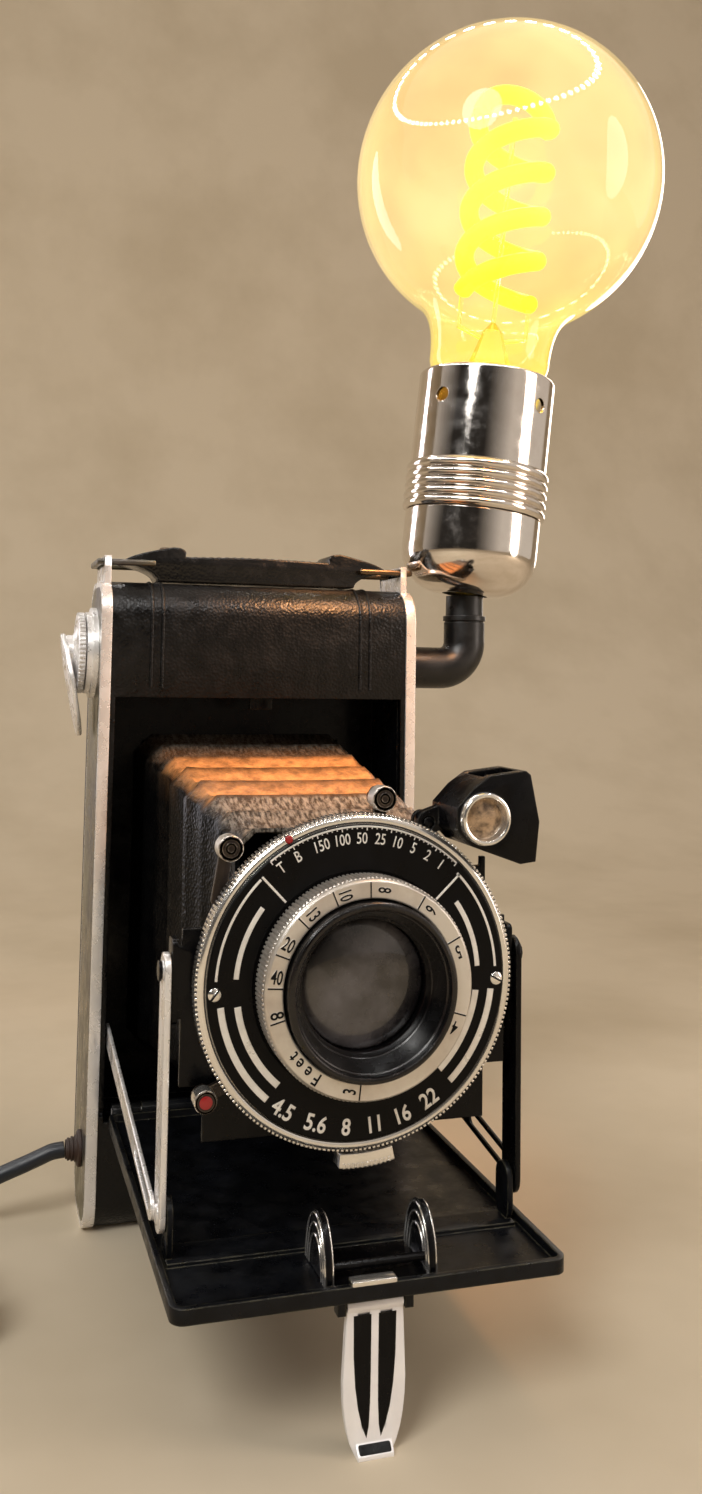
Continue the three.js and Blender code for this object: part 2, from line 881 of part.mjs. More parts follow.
// Side plate with a raised lug at its top for the strap's ring
function sidePlate(side) {
  const outline = roundedBox(frontY - plateRim, shellBackY, 0, bodyHeight, frontCornerRadius);
  const from = side < 0 ? -plateOuterX : plateInnerX;
  const plate = slabX(outline, from, from + plateThickness);
  const lugMiddleY = (frontY + shellBackY) / 2;
  const lug = block(
    Math.min(side * plateInnerX, side * (plateInnerX + lugWidth)),
    Math.max(side * plateInnerX, side * (plateInnerX + lugWidth)),
    lugMiddleY - lugDepth / 2,
    lugMiddleY + lugDepth / 2,
    bodyHeight - plateThickness,
    bodyHeight + lugHeight,
  );
  const lugHole = block(
    Math.min(side * (plateInnerX - cutOverrun), side * (plateOuterX + lugWidth)),
    Math.max(side * (plateInnerX - cutOverrun), side * (plateOuterX + lugWidth)),
    lugMiddleY - ringHalfDepth - runningGap,
    lugMiddleY + ringHalfDepth + runningGap,
    ringZ - ringWire / 2 - runningGap,
    ringZ + ringWire / 2 + runningGap,
  );
  return cut(joined(plate, lug), lugHole);
}

function leftPlate() {
  const boss = turnedX(
    [
      [0, -plateOuterX - bossHeight],
      [bossStepRadius, -plateOuterX - bossHeight],
      [bossStepRadius, -plateOuterX - bossHeight / 2],
      [bossRadius, -plateOuterX - bossHeight / 2],
      [bossRadius, -plateOuterX + joinOverlap],
      [0, -plateOuterX + joinOverlap],
    ],
    midRound,
  ).translate(0, keyY, keyZ);
  const bore = pinX(
    keyShaftRadius + runningGap,
    -plateOuterX - bossHeight - cutOverrun,
    -plateInnerX + cutOverrun,
    keyY,
    keyZ,
  );
  const glandHole = pinX(
    glandRadius + runningGap,
    -plateOuterX - cutOverrun,
    -plateInnerX + cutOverrun,
    glandY,
    glandZ,
  );
  return cut(joined(sidePlate(-1), boss), bore, glandHole);
}

function rightPlate() {
  const armHole = turnedX(
    disc(armRadius + seatGap, plateInnerX - cutOverrun, plateOuterX + cutOverrun),
    armFacets,
  ).translate(0, armY, armZ);
  return cut(sidePlate(1), armHole);
}

// Film gate: a box open to the front, with the picture window in its back wall
function filmGate() {
  const outer = block(
    -gateOuterX,
    gateOuterX,
    gateFrontY,
    gateBackY,
    wellBottomZ - gateWall,
    wellTopZ + gateWall,
  );
  const well = block(
    -gateInnerX,
    gateInnerX,
    gateFrontY - cutOverrun,
    gateBackY - gateWall,
    wellBottomZ,
    wellTopZ,
  );
  const picture = block(
    -gateHalfWidth,
    gateHalfWidth,
    gateFrontY,
    gateBackY + cutOverrun,
    lensZ - gateHalfHeight,
    lensZ + gateHalfHeight,
  );
  const strutY = frontY + strutPivotInset;
  const studs = [-1, 1].map((side) => {
    const inner = side * (strutInnerX - seatGap);
    const outerEnd = side * (gateInnerX + joinOverlap);
    return pinX(
      studRadius,
      Math.min(inner, outerEnd),
      Math.max(inner, outerEnd),
      strutY,
      strutPivotZ,
    );
  });
  return joined(cut(outer, well, picture), ...studs);
}

// Back door, hinged at the lower end
function backDoor() {
  const bottom = doorHingeZ + doorBarrelRadius + runningGap;
  const outline = roundedBox(
    -plateOuterX,
    plateOuterX,
    bottom,
    bodyHeight - doorTopMargin,
    doorCornerRadius,
  );
  const panel = slabFront(outline, -backY, -doorFrontY);
  const barrel = pinX(
    doorBarrelRadius,
    -doorBarrelHalfLength,
    doorBarrelHalfLength,
    doorAxisY,
    doorHingeZ,
  );
  const web = block(
    -doorBarrelHalfLength,
    doorBarrelHalfLength,
    doorAxisY - doorPinRadius,
    doorAxisY + doorBarrelRadius - seatGap,
    doorHingeZ,
    bottom + joinOverlap,
  );
  const pinHole = pinX(
    doorPinRadius + runningGap,
    -doorBarrelHalfLength - cutOverrun,
    doorBarrelHalfLength + cutOverrun,
    doorAxisY,
    doorHingeZ,
  );
  const windowHole = turnedFront(
    disc(windowRadius + seatGap, -backY - cutOverrun, -doorFrontY + cutOverrun),
    midRound,
  ).translate(0, 0, windowZ);
  return cut(joined(panel, barrel, web), pinHole, windowHole);
}

function pressurePlate() {
  const plateBack = doorFrontY - seatGap;
  const front = gateBackY + pressureGap;
  const outline = roundedBox(
    -pressureHalfWidth,
    pressureHalfWidth,
    lensZ - pressureHalfHeight,
    lensZ + pressureHalfHeight,
    bedCornerRadius,
  );
  const plate = slabFront(outline, -front - pressureThickness, -front);
  const spring = block(
    -springHalfWidth,
    springHalfWidth,
    front,
    plateBack,
    lensZ - springHalfHeight,
    lensZ + springHalfHeight,
  );
  const sight = pinFront(windowRadius, -plateBack - cutOverrun, -front + cutOverrun, 0, windowZ);
  return cut(joined(plate, spring), sight);
}

function redWindow() {
  return turnedFront(
    disc(windowRadius, -backY, -doorFrontY - windowLip),
    midRound,
  ).translate(0, 0, windowZ);
}

// Cover that slides along the door's outside to close the red window
function windowCover() {
  const outline = roundedBox(
    -coverHalfWidth,
    coverHalfWidth,
    windowZ - coverHalfHeight,
    windowZ + coverHalfHeight,
    bedCornerRadius,
  );
  const from = -backY - seatGap - coverThickness;
  const plate = slabFront(outline, from, -backY - seatGap);
  const slot = pinFront(coverHoleRadius, from - cutOverrun, -backY + cutOverrun, 0, windowZ);
  const grip = block(
    -coverHalfWidth + coverThickness,
    coverHalfWidth - coverThickness,
    backY + seatGap,
    backY + seatGap + 2 * coverThickness,
    windowZ + coverHalfHeight - 2 * coverThickness,
    windowZ + coverHalfHeight - coverThickness,
  );
  return joined(cut(plate, slot), grip);
}

function backCatch() {
  const top = bodyHeight - doorTopMargin - catchBelowTop;
  const outline = roundedBox(
    -catchHalfWidth,
    catchHalfWidth,
    top - catchHeight,
    top,
    bedCornerRadius,
  );
  const from = -backY - seatGap - catchThickness;
  const plate = slabFront(outline, from, -backY - seatGap);
  const grips = [1, 2, 3].map((row) =>
    block(
      -catchHalfWidth + catchThickness,
      catchHalfWidth - catchThickness,
      backY + seatGap,
      backY + seatGap + catchThickness + catchThickness / 2,
      top - (row * catchHeight) / 4 - catchThickness / 4,
      top - (row * catchHeight) / 4 + catchThickness / 4,
    ),
  );
  return joined(plate, ...grips);
}

// Sprung hook behind the front wall that holds the closed bed
function bedCatch() {
  const front = frontY + shellWall + runningGap;
  const plate = block(
    -bedCatchHalfWidth,
    bedCatchHalfWidth,
    front,
    front + bedCatchThickness,
    openingTopZ - bedCatchBelow,
    openingTopZ + bedCatchAbove,
  );
  const nose = block(
    -bedCatchHalfWidth,
    bedCatchHalfWidth,
    front,
    front + bedCatchThickness + bedCatchThickness / 3,
    openingTopZ - bedCatchBelow,
    openingTopZ - bedCatchBelow + bedCatchThickness,
  );
  return joined(plate, nose);
}

// Bed: a shallow tray that closes over the opening; forward distances are from its hinge
function bed() {
  const rear = frontY - bedRearSetback;
  const front = frontY - bedLength;
  const underside = hingeZ - bedDrop;
  const tray = slabZ(
    roundedBox(-bedHalfWidth, bedHalfWidth, front, rear, bedCornerRadius),
    underside,
    underside + bedRimHeight,
  );
  const pocket = slabZ(
    roundedBox(
      -bedHalfWidth + bedRimWall,
      bedHalfWidth - bedRimWall,
      front + bedRimWall,
      rear - bedRimWall,
      bedCornerRadius - bedRimWall,
    ),
    underside + bedSkin,
    underside + bedRimHeight + cutOverrun,
  );
  const barrel = pinX(knuckleRadius, -knuckleHalfLength, knuckleHalfLength, frontY, hingeZ);
  const web = block(
    -knuckleHalfLength,
    knuckleHalfLength,
    rear - bedRimWall,
    frontY - hingePinRadius,
    hingeZ - knuckleRadius,
    hingeZ - hingePinRadius,
  );
  const pinHole = pinX(
    hingePinRadius + runningGap,
    -knuckleHalfLength - cutOverrun,
    knuckleHalfLength + cutOverrun,
    frontY,
    hingeZ,
  );
  const tab = block(
    tabLeftX,
    tabRightX,
    front + joinOverlap,
    front + tabDepth,
    underside + bedSkin,
    underside + bedRimHeight + tabRise,
  );
  const footLugs = [-1, 1].map((side) => footLug(side));
  const footPin = pinX(
    footPinRadius,
    -footTopHalfWidth - runningGap - footLugLength,
    footTopHalfWidth + runningGap + footLugLength,
    footAxisY,
    footAxisZ,
  );
  const tub = cut(joined(cut(tray, pocket), barrel, web, tab), pinHole);
  return joined(tub, ...footLugs, footPin, legBracket());
}

function footLug(side) {
  const near = side * (footTopHalfWidth + runningGap);
  const far = side * (footTopHalfWidth + runningGap + footLugLength);
  return block(
    Math.min(near, far),
    Math.max(near, far),
    footAxisY - footBarrelRadius,
    footAxisY + footBarrelRadius,
    footAxisZ - footBarrelRadius,
    hingeZ - bedDrop + joinOverlap,
  );
}

// Foot: a springy strip that hangs from the bed's edge down to the table
function foot() {
  const outline = new THREE.Shape();
  const shoulder = footAxisZ / 2;
  outline.moveTo(-footTipHalfWidth, 0);
  outline.lineTo(footTipHalfWidth, 0);
  outline.quadraticCurveTo(footHalfWidth, footAxisZ / 6, footHalfWidth, shoulder);
  outline.lineTo(footTopHalfWidth, footAxisZ);
  outline.lineTo(-footTopHalfWidth, footAxisZ);
  outline.lineTo(-footHalfWidth, shoulder);
  outline.quadraticCurveTo(-footHalfWidth, footAxisZ / 6, -footTipHalfWidth, 0);
  const strip = slabFront(outline, -footAxisY - footThickness / 2, -footAxisY + footThickness / 2);
  const barrel = pinX(
    footBarrelRadius,
    -footTopHalfWidth,
    footTopHalfWidth,
    footAxisY,
    footAxisZ,
  );
  const bore = pinX(
    footBarrelBore,
    -footTopHalfWidth - cutOverrun,
    footTopHalfWidth + cutOverrun,
    footAxisY,
    footAxisZ,
  );
  const lip = slabX(
    polygon([
      [footAxisY - footThickness / 2 + joinOverlap, 0],
      [footAxisY - footThickness / 2 + joinOverlap, footLipHeight],
      [footAxisY - footThickness / 2, footLipHeight],
      [footAxisY - footThickness / 2 - footLipForward, footLipHeight / 3],
      [footAxisY - footThickness / 2 - footLipForward, 0],
    ]),
    -footTipHalfWidth,
    footTipHalfWidth,
  );
  const grooves = [-1, 1].map((side) =>
    slabFront(
      polygon([
        [side * footGrooveOffset - footGrooveHalfWidth, footAxisZ - footBarrelRadius],
        [side * footGrooveOffset - footGrooveHalfWidth, shoulder],
        [side * footGrooveOffset, footGrooveEndZ],
        [side * footGrooveOffset + footGrooveHalfWidth, shoulder],
        [side * footGrooveOffset + footGrooveHalfWidth, footAxisZ - footBarrelRadius],
      ]),
      -footAxisY + footThickness / 2 - footGrooveDepth,
      -footAxisY + footThickness / 2 + cutOverrun,
    ),
  );
  return cut(joined(strip, barrel, lip), bore, ...grooves);
}

// Strip riveted across the bed whose ears carry the legs' lower ends
function legBracket() {
  const earOuter = legInnerX - runningGap;
  const strip = block(
    -earOuter,
    earOuter,
    pivotY - bracketHalfDepth,
    pivotY + bracketHalfDepth,
    floorTop - joinOverlap,
    floorTop + bracketStrip,
  );
  const parts = [-1, 1].flatMap((side) => {
    const near = side * (earOuter - earThickness);
    const far = side * earOuter;
    const stud = side * (legInnerX + legThickness);
    const ear = slabX(
      barOutline([pivotY, floorTop + earHalfWidth], [pivotY, pivotZ], earHalfWidth),
      Math.min(near, far),
      Math.max(near, far),
    );
    const pin = pinX(studRadius, Math.min(near, stud), Math.max(near, stud), pivotY, pivotZ);
    return [ear, pin];
  });
  return joined(strip, ...parts);
}

// Guide near the bed's front edge
function bedGuide() {
  const shape = new THREE.Shape();
  const bottom = floorTop + seatGap;
  const middle = frontY - (guideRear + guideFront) / 2;
  const half = (guideFront - guideRear) / 2;
  shape.moveTo(middle - half, bottom);
  shape.lineTo(middle + half, bottom);
  shape.absellipse(middle, bottom, half, hingeZ + guideRise - bottom, 0, 2 * quarterTurn);
  const ears = [guideLeftX, guideRightX - guideEarThickness].map((x) =>
    slabX(shape, x, x + guideEarThickness),
  );
  const base = block(
    guideLeftX,
    guideRightX,
    middle - half,
    middle + half,
    bottom,
    bottom + guideBase,
  );
  const axle = pinX(
    guideAxleRadius,
    guideLeftX + joinOverlap,
    guideRightX - joinOverlap,
    frontY - guideAxleForward,
    hingeZ + guideAxleRise,
  );
  return joined(...ears, base, axle);
}

// Leg from the bed's pivot up to the front standard
function leg(side) {
  const near = side * legInnerX;
  const far = side * (legInnerX + legThickness);
  const from = Math.min(near, far);
  const to = Math.max(near, far);
  const bar = slabX(barOutline([pivotY, pivotZ], [pivotY, upperPivotZ], legHalfWidth), from, to);
  const holes = [pivotZ, upperPivotZ].map((z) =>
    pinX(studRadius + runningGap, from - cutOverrun, to + cutOverrun, pivotY, z),
  );
  return cut(bar, ...holes);
}

// Slotted strut from the body to the leg's lower pivot
function strut(side) {
  const near = side * strutInnerX;
  const far = side * (strutInnerX + strutThickness);
  const from = Math.min(near, far);
  const to = Math.max(near, far);
  const start = [frontY + strutPivotInset, strutPivotZ];
  const aim = Math.atan2(pivotZ - strutPivotZ, pivotY - start[0]);
  const along = (distance) => [
    start[0] + distance * Math.cos(aim),
    start[1] + distance * Math.sin(aim),
  ];
  const bar = slabX(barOutline(start, along(strutReach), strutHalfWidth), from, to);
  const slot = slabX(
    barOutline(along(strutSlotStart), along(strutSlotEnd), studRadius + runningGap),
    from - cutOverrun,
    to + cutOverrun,
  );
  const hole = pinX(
    studRadius + runningGap,
    from - cutOverrun,
    to + cutOverrun,
    start[0],
    start[1],
  );
  return cut(bar, slot, hole);
}

// Front standard: places here are [x, z] from the lens axis, depths forward of the pivots
function frontStandard() {
  const earOuter = legInnerX - runningGap;
  const plateOutline = new THREE.Shape();
  plateOutline.moveTo(-standardHalfWidth, standardNotch);
  plateOutline.lineTo(-standardNotchHalfWidth, standardNotch);
  plateOutline.lineTo(-standardNotchHalfWidth, standardBottom);
  plateOutline.lineTo(standardNotchHalfWidth, standardBottom);
  plateOutline.lineTo(standardNotchHalfWidth, standardNotch);
  plateOutline.lineTo(standardHalfWidth, standardNotch);
  plateOutline.lineTo(standardHalfWidth, standardShoulder);
  const meet = Math.asin(standardShoulder / standardTopRadius);
  plateOutline.absarc(0, 0, standardTopRadius, meet, 2 * quarterTurn - meet);
  plateOutline.lineTo(-standardHalfWidth, standardShoulder);
  const plate = slabFront(plateOutline, standardBack, standardFront);
  const sides = [-1, 1].flatMap((side) => {
    const near = side * (earOuter - earThickness);
    const far = side * earOuter;
    const flange = slabX(
      roundedBox(
        -standardFront,
        -flangeBack,
        lensDrop - flangeBelow,
        lensDrop + flangeAbove,
        earThickness,
      ),
      Math.min(near, far),
      Math.max(near, far),
    );
    const wing = block(
      Math.min(side * (standardHalfWidth - joinOverlap), far),
      Math.max(side * (standardHalfWidth - joinOverlap), far),
      -standardFront,
      -standardBack,
      lensDrop - flangeBelow + earThickness,
      lensDrop + flangeAbove - earThickness,
    );
    const shank = side * (legInnerX + legThickness + runningGap + studHeadHeight);
    const stud = pinX(studRadius, Math.min(near, shank), Math.max(near, shank), 0, lensDrop);
    const headNear = side * (legInnerX + legThickness + runningGap);
    const head = pinX(
      studHeadRadius,
      Math.min(headNear, shank),
      Math.max(headNear, shank),
      0,
      lensDrop,
    );
    return [flange, wing, stud, head];
  });
  const bore = turnedFront(
    disc(standardBore, standardBack - cutOverrun, standardFront + cutOverrun),
    midRound,
  );
  return cut(joined(plate, ...sides), bore);
}

function shutterHousing() {
  const back = standardFront + seatGap;
  const floor = back + housingFloor;
  return turnedFront(
    [
      [coreBore, back],
      [housingRadius, back],
      [housingRadius, housingFront],
      [housingRadius - housingWall, housingFront],
      [housingRadius - housingWall, floor],
      [coreBore + coreWall, floor],
      [coreBore + coreWall, housingFront - seatGap],
      [coreBore, housingFront - seatGap],
    ],
    wideRound,
  );
}

// Serrated ring: teeth cut round a plain band, with a thin bright lip at the front
function speedRing() {
  const shape = new THREE.Shape();
  for (let i = 0; i < speedRingTeeth; i++) {
    const angle = (2 * Math.PI * i) / speedRingTeeth;
    const next = angle + Math.PI / speedRingTeeth;
    const root = speedRingOuter - speedRingToothDepth;
    const low = [root * Math.cos(angle), root * Math.sin(angle)];
    const high = [speedRingOuter * Math.cos(next), speedRingOuter * Math.sin(next)];
    if (i === 0) shape.moveTo(...low);
    else shape.lineTo(...low);
    shape.lineTo(...high);
  }
  const toothed = slabFront(shape, speedRingBack, speedRingFront);
  const bore = turnedFront(
    disc(housingRadius + runningGap, speedRingBack - cutOverrun, speedRingFront + cutOverrun),
    wideRound,
  );
  return cut(toothed, bore);
}

function facePlate() {
  return turnedFront(tube(dialInner, housingRadius - seatGap, dialBack, dialFront), wideRound);
}

function focusRing() {
  return turnedFront(tube(focusInner, focusOuter, focusBack, focusFront), wideRound);
}

// Bezel: a black funnel that runs from the ring's front down to the glass
function lensBezel() {
  return turnedFront(
    [
      [bezelThroat, bezelBack],
      [rearCellOuter, bezelBack],
      [rearCellOuter, focusBack],
      [bezelOuter, focusBack],
      [bezelOuter, bezelFront],
      [bezelOuter - bezelLip, bezelFront],
      [bezelMouth, bezelFront - bezelLip],
      [bezelThroat, bezelThroatDepth],
    ],
    midRound,
  );
}

function frontGlass() {
  return turnedFront(
    [
      [0, glassBack],
      [glassRadius, glassBack],
      [glassRadius, glassEdge],
      [glassRadius * Math.cos(quarterTurn / 2), (glassEdge + 2 * glassCrown) / 3],
      [glassRadius / 3, glassCrown - (glassCrown - glassEdge) / 12],
      [0, glassCrown],
    ],
    midRound,
  );
}

function shutterBlades() {
  return turnedFront(disc(bladeRadius, bladeBack, bladeFront), midRound);
}

// Rear cell with its lens, which looks into the bellows
function rearCell() {
  return turnedFront(
    [
      [0, rearCellBack + rearGlassInset],
      [rearGlassRadius, rearCellBack + rearGlassInset],
      [rearGlassRadius, rearCellBack],
      [rearCellOuter, rearCellBack],
      [rearCellOuter, rearCellFront],
      [0, rearCellFront],
    ],
    midRound,
  );
}

// Lever: a foot that hugs the housing, an arm, and a button that faces the viewer
function lever(button, hugAngle, buttonRadius) {
  const inner = housingRadius + runningGap;
  const hug = slabFront(
    sectorOutline(inner, leverHugOuter, hugAngle, leverHugHalfAngle),
    leverBack,
    leverFront,
  );
  const rootRadius = (inner + leverHugOuter) / 2;
  const root = [rootRadius * Math.cos(hugAngle), rootRadius * Math.sin(hugAngle)];
  const reach = Math.hypot(button[0] - root[0], button[1] - root[1]);
  const share = leverHalfWidth / reach;
  const start = [
    root[0] + (button[0] - root[0]) * share,
    root[1] + (button[1] - root[1]) * share,
  ];
  const arm = slabFront(barOutline(start, button, leverHalfWidth), leverBack, leverFront);
  const knob = pinFront(buttonRadius, leverBack, leverButtonFront, button[0], button[1]);
  const keepOut = turnedFront(disc(inner, leverBack - cutOverrun, leverFront + cutOverrun), wideRound);
  return cut(joined(hug, arm, knob), keepOut);
}

function apertureLever() {
  const inner = housingRadius + runningGap;
  const hug = slabFront(
    sectorOutline(inner, leverHugOuter, apertureAngle, leverHugHalfAngle),
    leverBack,
    leverFront,
  );
  const grip = slabFront(
    sectorOutline(apertureInner, apertureOuter, apertureAngle, apertureHalfAngle),
    leverBack,
    apertureFront,
  );
  const at = (radius) => [radius * Math.cos(apertureAngle), radius * Math.sin(apertureAngle)];
  const stem = slabFront(
    barOutline(at(leverHugOuter), at(apertureInner + joinOverlap), apertureStemHalfWidth),
    leverBack,
    leverFront,
  );
  const keepOut = turnedFront(disc(inner, leverBack - cutOverrun, leverFront + cutOverrun), wideRound);
  return cut(joined(hug, grip, stem), keepOut);
}

// Finder housing: hollow, open at the front bore and at the top window
function finderBody() {
  const shell = slabFront(polygon(finderOutline), finderBack, finderFront);
  const room = slabFront(polygon(finderRoom), finderRoomBack, finderRoomFront);
  const top = slabFront(polygon(finderTopWindow), finderTopBack, finderTopFront);
  const bore = pinFront(
    finderBore,
    finderRoomFront - cutOverrun,
    finderFront + cutOverrun,
    finderLensCentre[0],
    finderLensCentre[1],
  );
  const lug = slabFront(
    barOutline(
      finderPivot,
      [finderOutline[0][0] + finderPivotRadius, (finderOutline[0][1] + finderOutline[9][1]) / 2],
      finderPivotRadius - joinOverlap,
    ),
    finderLugBack,
    finderLugFront,
  );
  const hole = pinFront(
    studRadius + runningGap,
    finderLugBack - cutOverrun,
    finderLugFront + cutOverrun,
    finderPivot[0],
    finderPivot[1],
  );
  return cut(joined(cut(shell, room, top, bore), lug), hole);
}

// Chrome ring with the finder's front lens in it
function finderWindow() {
  const back = finderFront + seatGap;
  const rim = finderRingRadius - finderBore;
  return turnedFront(
    [
      [0, back],
      [finderRingRadius, back],
      [finderRingRadius, finderRingFront - rim / 2],
      [finderRingRadius - rim / 2, finderRingFront],
      [finderBore, finderRingFront],
      [finderBore, back + finderGlassThickness],
      [0, back + finderGlassThickness],
    ],
    midRound,
  ).translate(finderLensCentre[0], 0, finderLensCentre[1]);
}

// Top lens that lies in the finder's upper window
function finderTopGlass() {
  const [left, right] = finderTopWindow;
  const shape = polygon([
    [left[0] + runningGap, left[1] + finderWall],
    [right[0] - runningGap, right[1] + finderWall],
    [right[0] - runningGap, right[1] + finderWall + finderGlassThickness],
    [left[0] + runningGap, left[1] + finderWall + finderGlassThickness],
  ]);
  return slabFront(shape, finderTopBack + runningGap, finderTopFront - runningGap);
}

function finderBracket() {
  const bar = slabFront(
    polygon([
      [bracketBarLeft, bracketBarLow],
      [bracketPostRight, bracketBarLow],
      [bracketPostRight, bracketBarHigh],
      [bracketBarLeft, bracketBarHigh],
    ]),
    bracketBack,
    bracketFront,
  );
  const post = slabFront(
    polygon([
      [bracketPostLeft, bracketBarLow],
      [bracketPostRight, bracketBarLow],
      [bracketPostRight, bracketPostTop],
      [bracketPostLeft, bracketPostTop],
    ]),
    bracketBack,
    bracketFront,
  );
  const arm = slabFront(
    barOutline([finderPivot[0], bracketBarHigh], finderPivot, studRadius * 2),
    bracketBack,
    bracketFront,
  );
  const stud = pinFront(
    studRadius,
    bracketBack,
    finderLugFront,
    finderPivot[0],
    finderPivot[1],
  );
  return joined(bar, post, arm, stud);
}

// Bellows: pleats that narrow from the film gate to the standard, hollow for the light
function bellows() {
  const rear = gateBackY - gateWall - runningGap;
  const front = pivotY - flangeBack + bellowsFrontGap;
  const steps = pleats * 2;
  const ringAt = (share, offset) => {
    const y = rear + (front - rear) * share;
    const narrowed = (bellowsFrontHalfWidth - bellowsRearHalfWidth) * share;
    const lowered = (bellowsFrontHalfHeight - bellowsRearHalfHeight) * share;
    const halfX = bellowsRearHalfWidth + narrowed + offset;
    const halfZ = bellowsRearHalfHeight + lowered + offset;
    const corner = halfX * bellowsCornerShare;
    return [
      [halfX, halfZ - corner],
      [halfX - corner, halfZ],
      [corner - halfX, halfZ],
      [-halfX, halfZ - corner],
      [-halfX, corner - halfZ],
      [corner - halfX, -halfZ],
      [halfX - corner, -halfZ],
      [halfX, corner - halfZ],
    ].map(([x, z]) => new THREE.Vector3(x, y, lensZ + z));
  };
  const outside = Array.from({ length: steps + 1 }, (unused, i) =>
    ringAt(i / steps, i % 2 === 0 ? 0 : -pleatDepth),
  );
  const inside = Array.from({ length: steps + 1 }, (unused, i) =>
    ringAt(1 - i / steps, (i % 2 === 0 ? 0 : -pleatDepth) - bellowsWall),
  );
  return ringSurface([...outside, ...inside], true);
}

// Padded strap: each end goes through a ring and folds back on top
function strap() {
  const low = bodyHeight + strapRise;
  const high = low + strapThickness;
  const shape = new THREE.Shape();
  shape.moveTo(-strapEndX, ringZ);
  shape.quadraticCurveTo(-strapPadEndX, ringZ - strapEyeRadius, -strapPadEndX, low);
  shape.lineTo(strapPadEndX, low);
  shape.quadraticCurveTo(strapPadEndX, ringZ - strapEyeRadius, strapEndX, ringZ);
  shape.quadraticCurveTo(strapEndX, high, strapFoldX + strapFoldRise, high + strapFoldRise);
  shape.lineTo(strapFoldX, high + strapFoldRise / 2);
  shape.lineTo(strapFoldX, high);
  shape.lineTo(-strapFoldX, high);
  shape.lineTo(-strapFoldX, high + strapFoldRise / 2);
  shape.lineTo(-strapFoldX - strapFoldRise, high + strapFoldRise);
  shape.quadraticCurveTo(-strapEndX, high, -strapEndX, ringZ);
  const middleY = (frontY + shellBackY) / 2;
  const leatherBand = slabFront(shape, -middleY - strapHalfWidth, -middleY + strapHalfWidth);
  const eyes = [-1, 1].map((side) =>
    pinFront(
      strapEyeRadius,
      -middleY - strapHalfWidth - cutOverrun,
      -middleY + strapHalfWidth + cutOverrun,
      side * strapEyeX,
      ringZ,
    ),
  );
  return cut(leatherBand, ...eyes);
}

// Wire ring between the strap's eye and the side plate's lug
function strapRing(side) {
  const middleY = (frontY + shellBackY) / 2;
  const inner = strapEyeX - ringWire / 2;
  const outer = ringEndX;
  const frame = block(
    Math.min(side * inner, side * outer),
    Math.max(side * inner, side * outer),
    middleY - ringHalfDepth,
    middleY + ringHalfDepth,
    ringZ - ringWire / 2,
    ringZ + ringWire / 2,
  );
  const hole = block(
    Math.min(side * (inner + ringWire), side * (outer - ringWire)),
    Math.max(side * (inner + ringWire), side * (outer - ringWire)),
    middleY - ringHalfDepth + ringWire,
    middleY + ringHalfDepth - ringWire,
    ringZ - ringWire,
    ringZ + ringWire,
  );
  return cut(frame, hole);
}

// Winding key: shaft with a disc and hub, and an oval wing that leans towards the body
function windingKey() {
  const discInner = plateOuterX + bossHeight + runningGap;
  const discOuter = discInner + keyDiscThickness;
  const hubOuter = discInner + keyHubLength;
  const shaft = turnedX(
    [
      [0, -hubOuter],
      [keyHubRadius, -hubOuter],
      [keyHubRadius, -discOuter],
      [keyDiscRadius, -discOuter],
      [keyDiscRadius, -discInner],
      [keyShaftRadius, -discInner],
      [keyShaftRadius, -keyShaftInnerX],
      [0, -keyShaftInnerX],
    ],
    midRound,
  );
  const outline = new THREE.Shape();
  const middle = (keyWingTop - keyWingBottom) / 2;
  outline.absellipse(0, middle, keyWingHalfWidth, (keyWingTop + keyWingBottom) / 2, 0, 2 * Math.PI);
  const wing = slabX(outline, 0, keyWingThickness)
    .rotateY(-keyWingLean)
    .translate(-hubOuter + keyWingSeat, 0, 0);
  return joined(shaft, wing);
}

// Arm: a hollow tube out of the side plate and up to the holder
function armTube() {
  const stations = [{ x: armInnerX, z: armZ, angle: 0 }];
  for (let i = 0; i <= arcSteps; i++) {
    const angle = (quarterTurn * i) / arcSteps;
    stations.push({
      x: armX - armBend + armBend * Math.sin(angle),
      z: armZ + armBend - armBend * Math.cos(angle),
      angle,
    });
  }
  stations.push({ x: armX, z: armCollarZ, angle: quarterTurn });
  stations.push({ x: armX, z: armTopZ, angle: quarterTurn, neck: armNeckRadius - armRadius });
  const side = new THREE.Vector3(0, 1, 0);
  const ringsOf = (straightRadius) =>
    stations.map(({ x, z, angle, neck = 0 }) => {
      const radius = straightRadius + neck;
      const lift = new THREE.Vector3(-Math.sin(angle), 0, Math.cos(angle));
      return Array.from({ length: armFacets }, (unused, k) => {
        const around = (2 * Math.PI * k) / armFacets;
        return new THREE.Vector3(x, armY, z)
          .addScaledVector(side, radius * Math.cos(around))
          .addScaledVector(lift, radius * Math.sin(around));
      });
    });
  const wall = ringSurface([...ringsOf(armRadius), ...ringsOf(armBore).reverse()], true);
  const collar = turnedZ(
    tube(
      armRadius - joinOverlap,
      armRadius + armCollarProud,
      armCollarZ,
      armCollarZ + armCollarHeight,
    ),
    midRound,
  ).translate(armX, armY, 0);
  return joined(wall, collar);
}

function armNut() {
  const from = gateOuterX - nutThickness;
  const hexagon = turnedX(disc(nutRadius, from, gateOuterX), hexSides);
  const bore = turnedX(
    disc(armRadius + seatGap, from - cutOverrun, gateOuterX + cutOverrun),
    armFacets,
  );
  return cut(hexagon, bore).translate(0, armY, armZ);
}

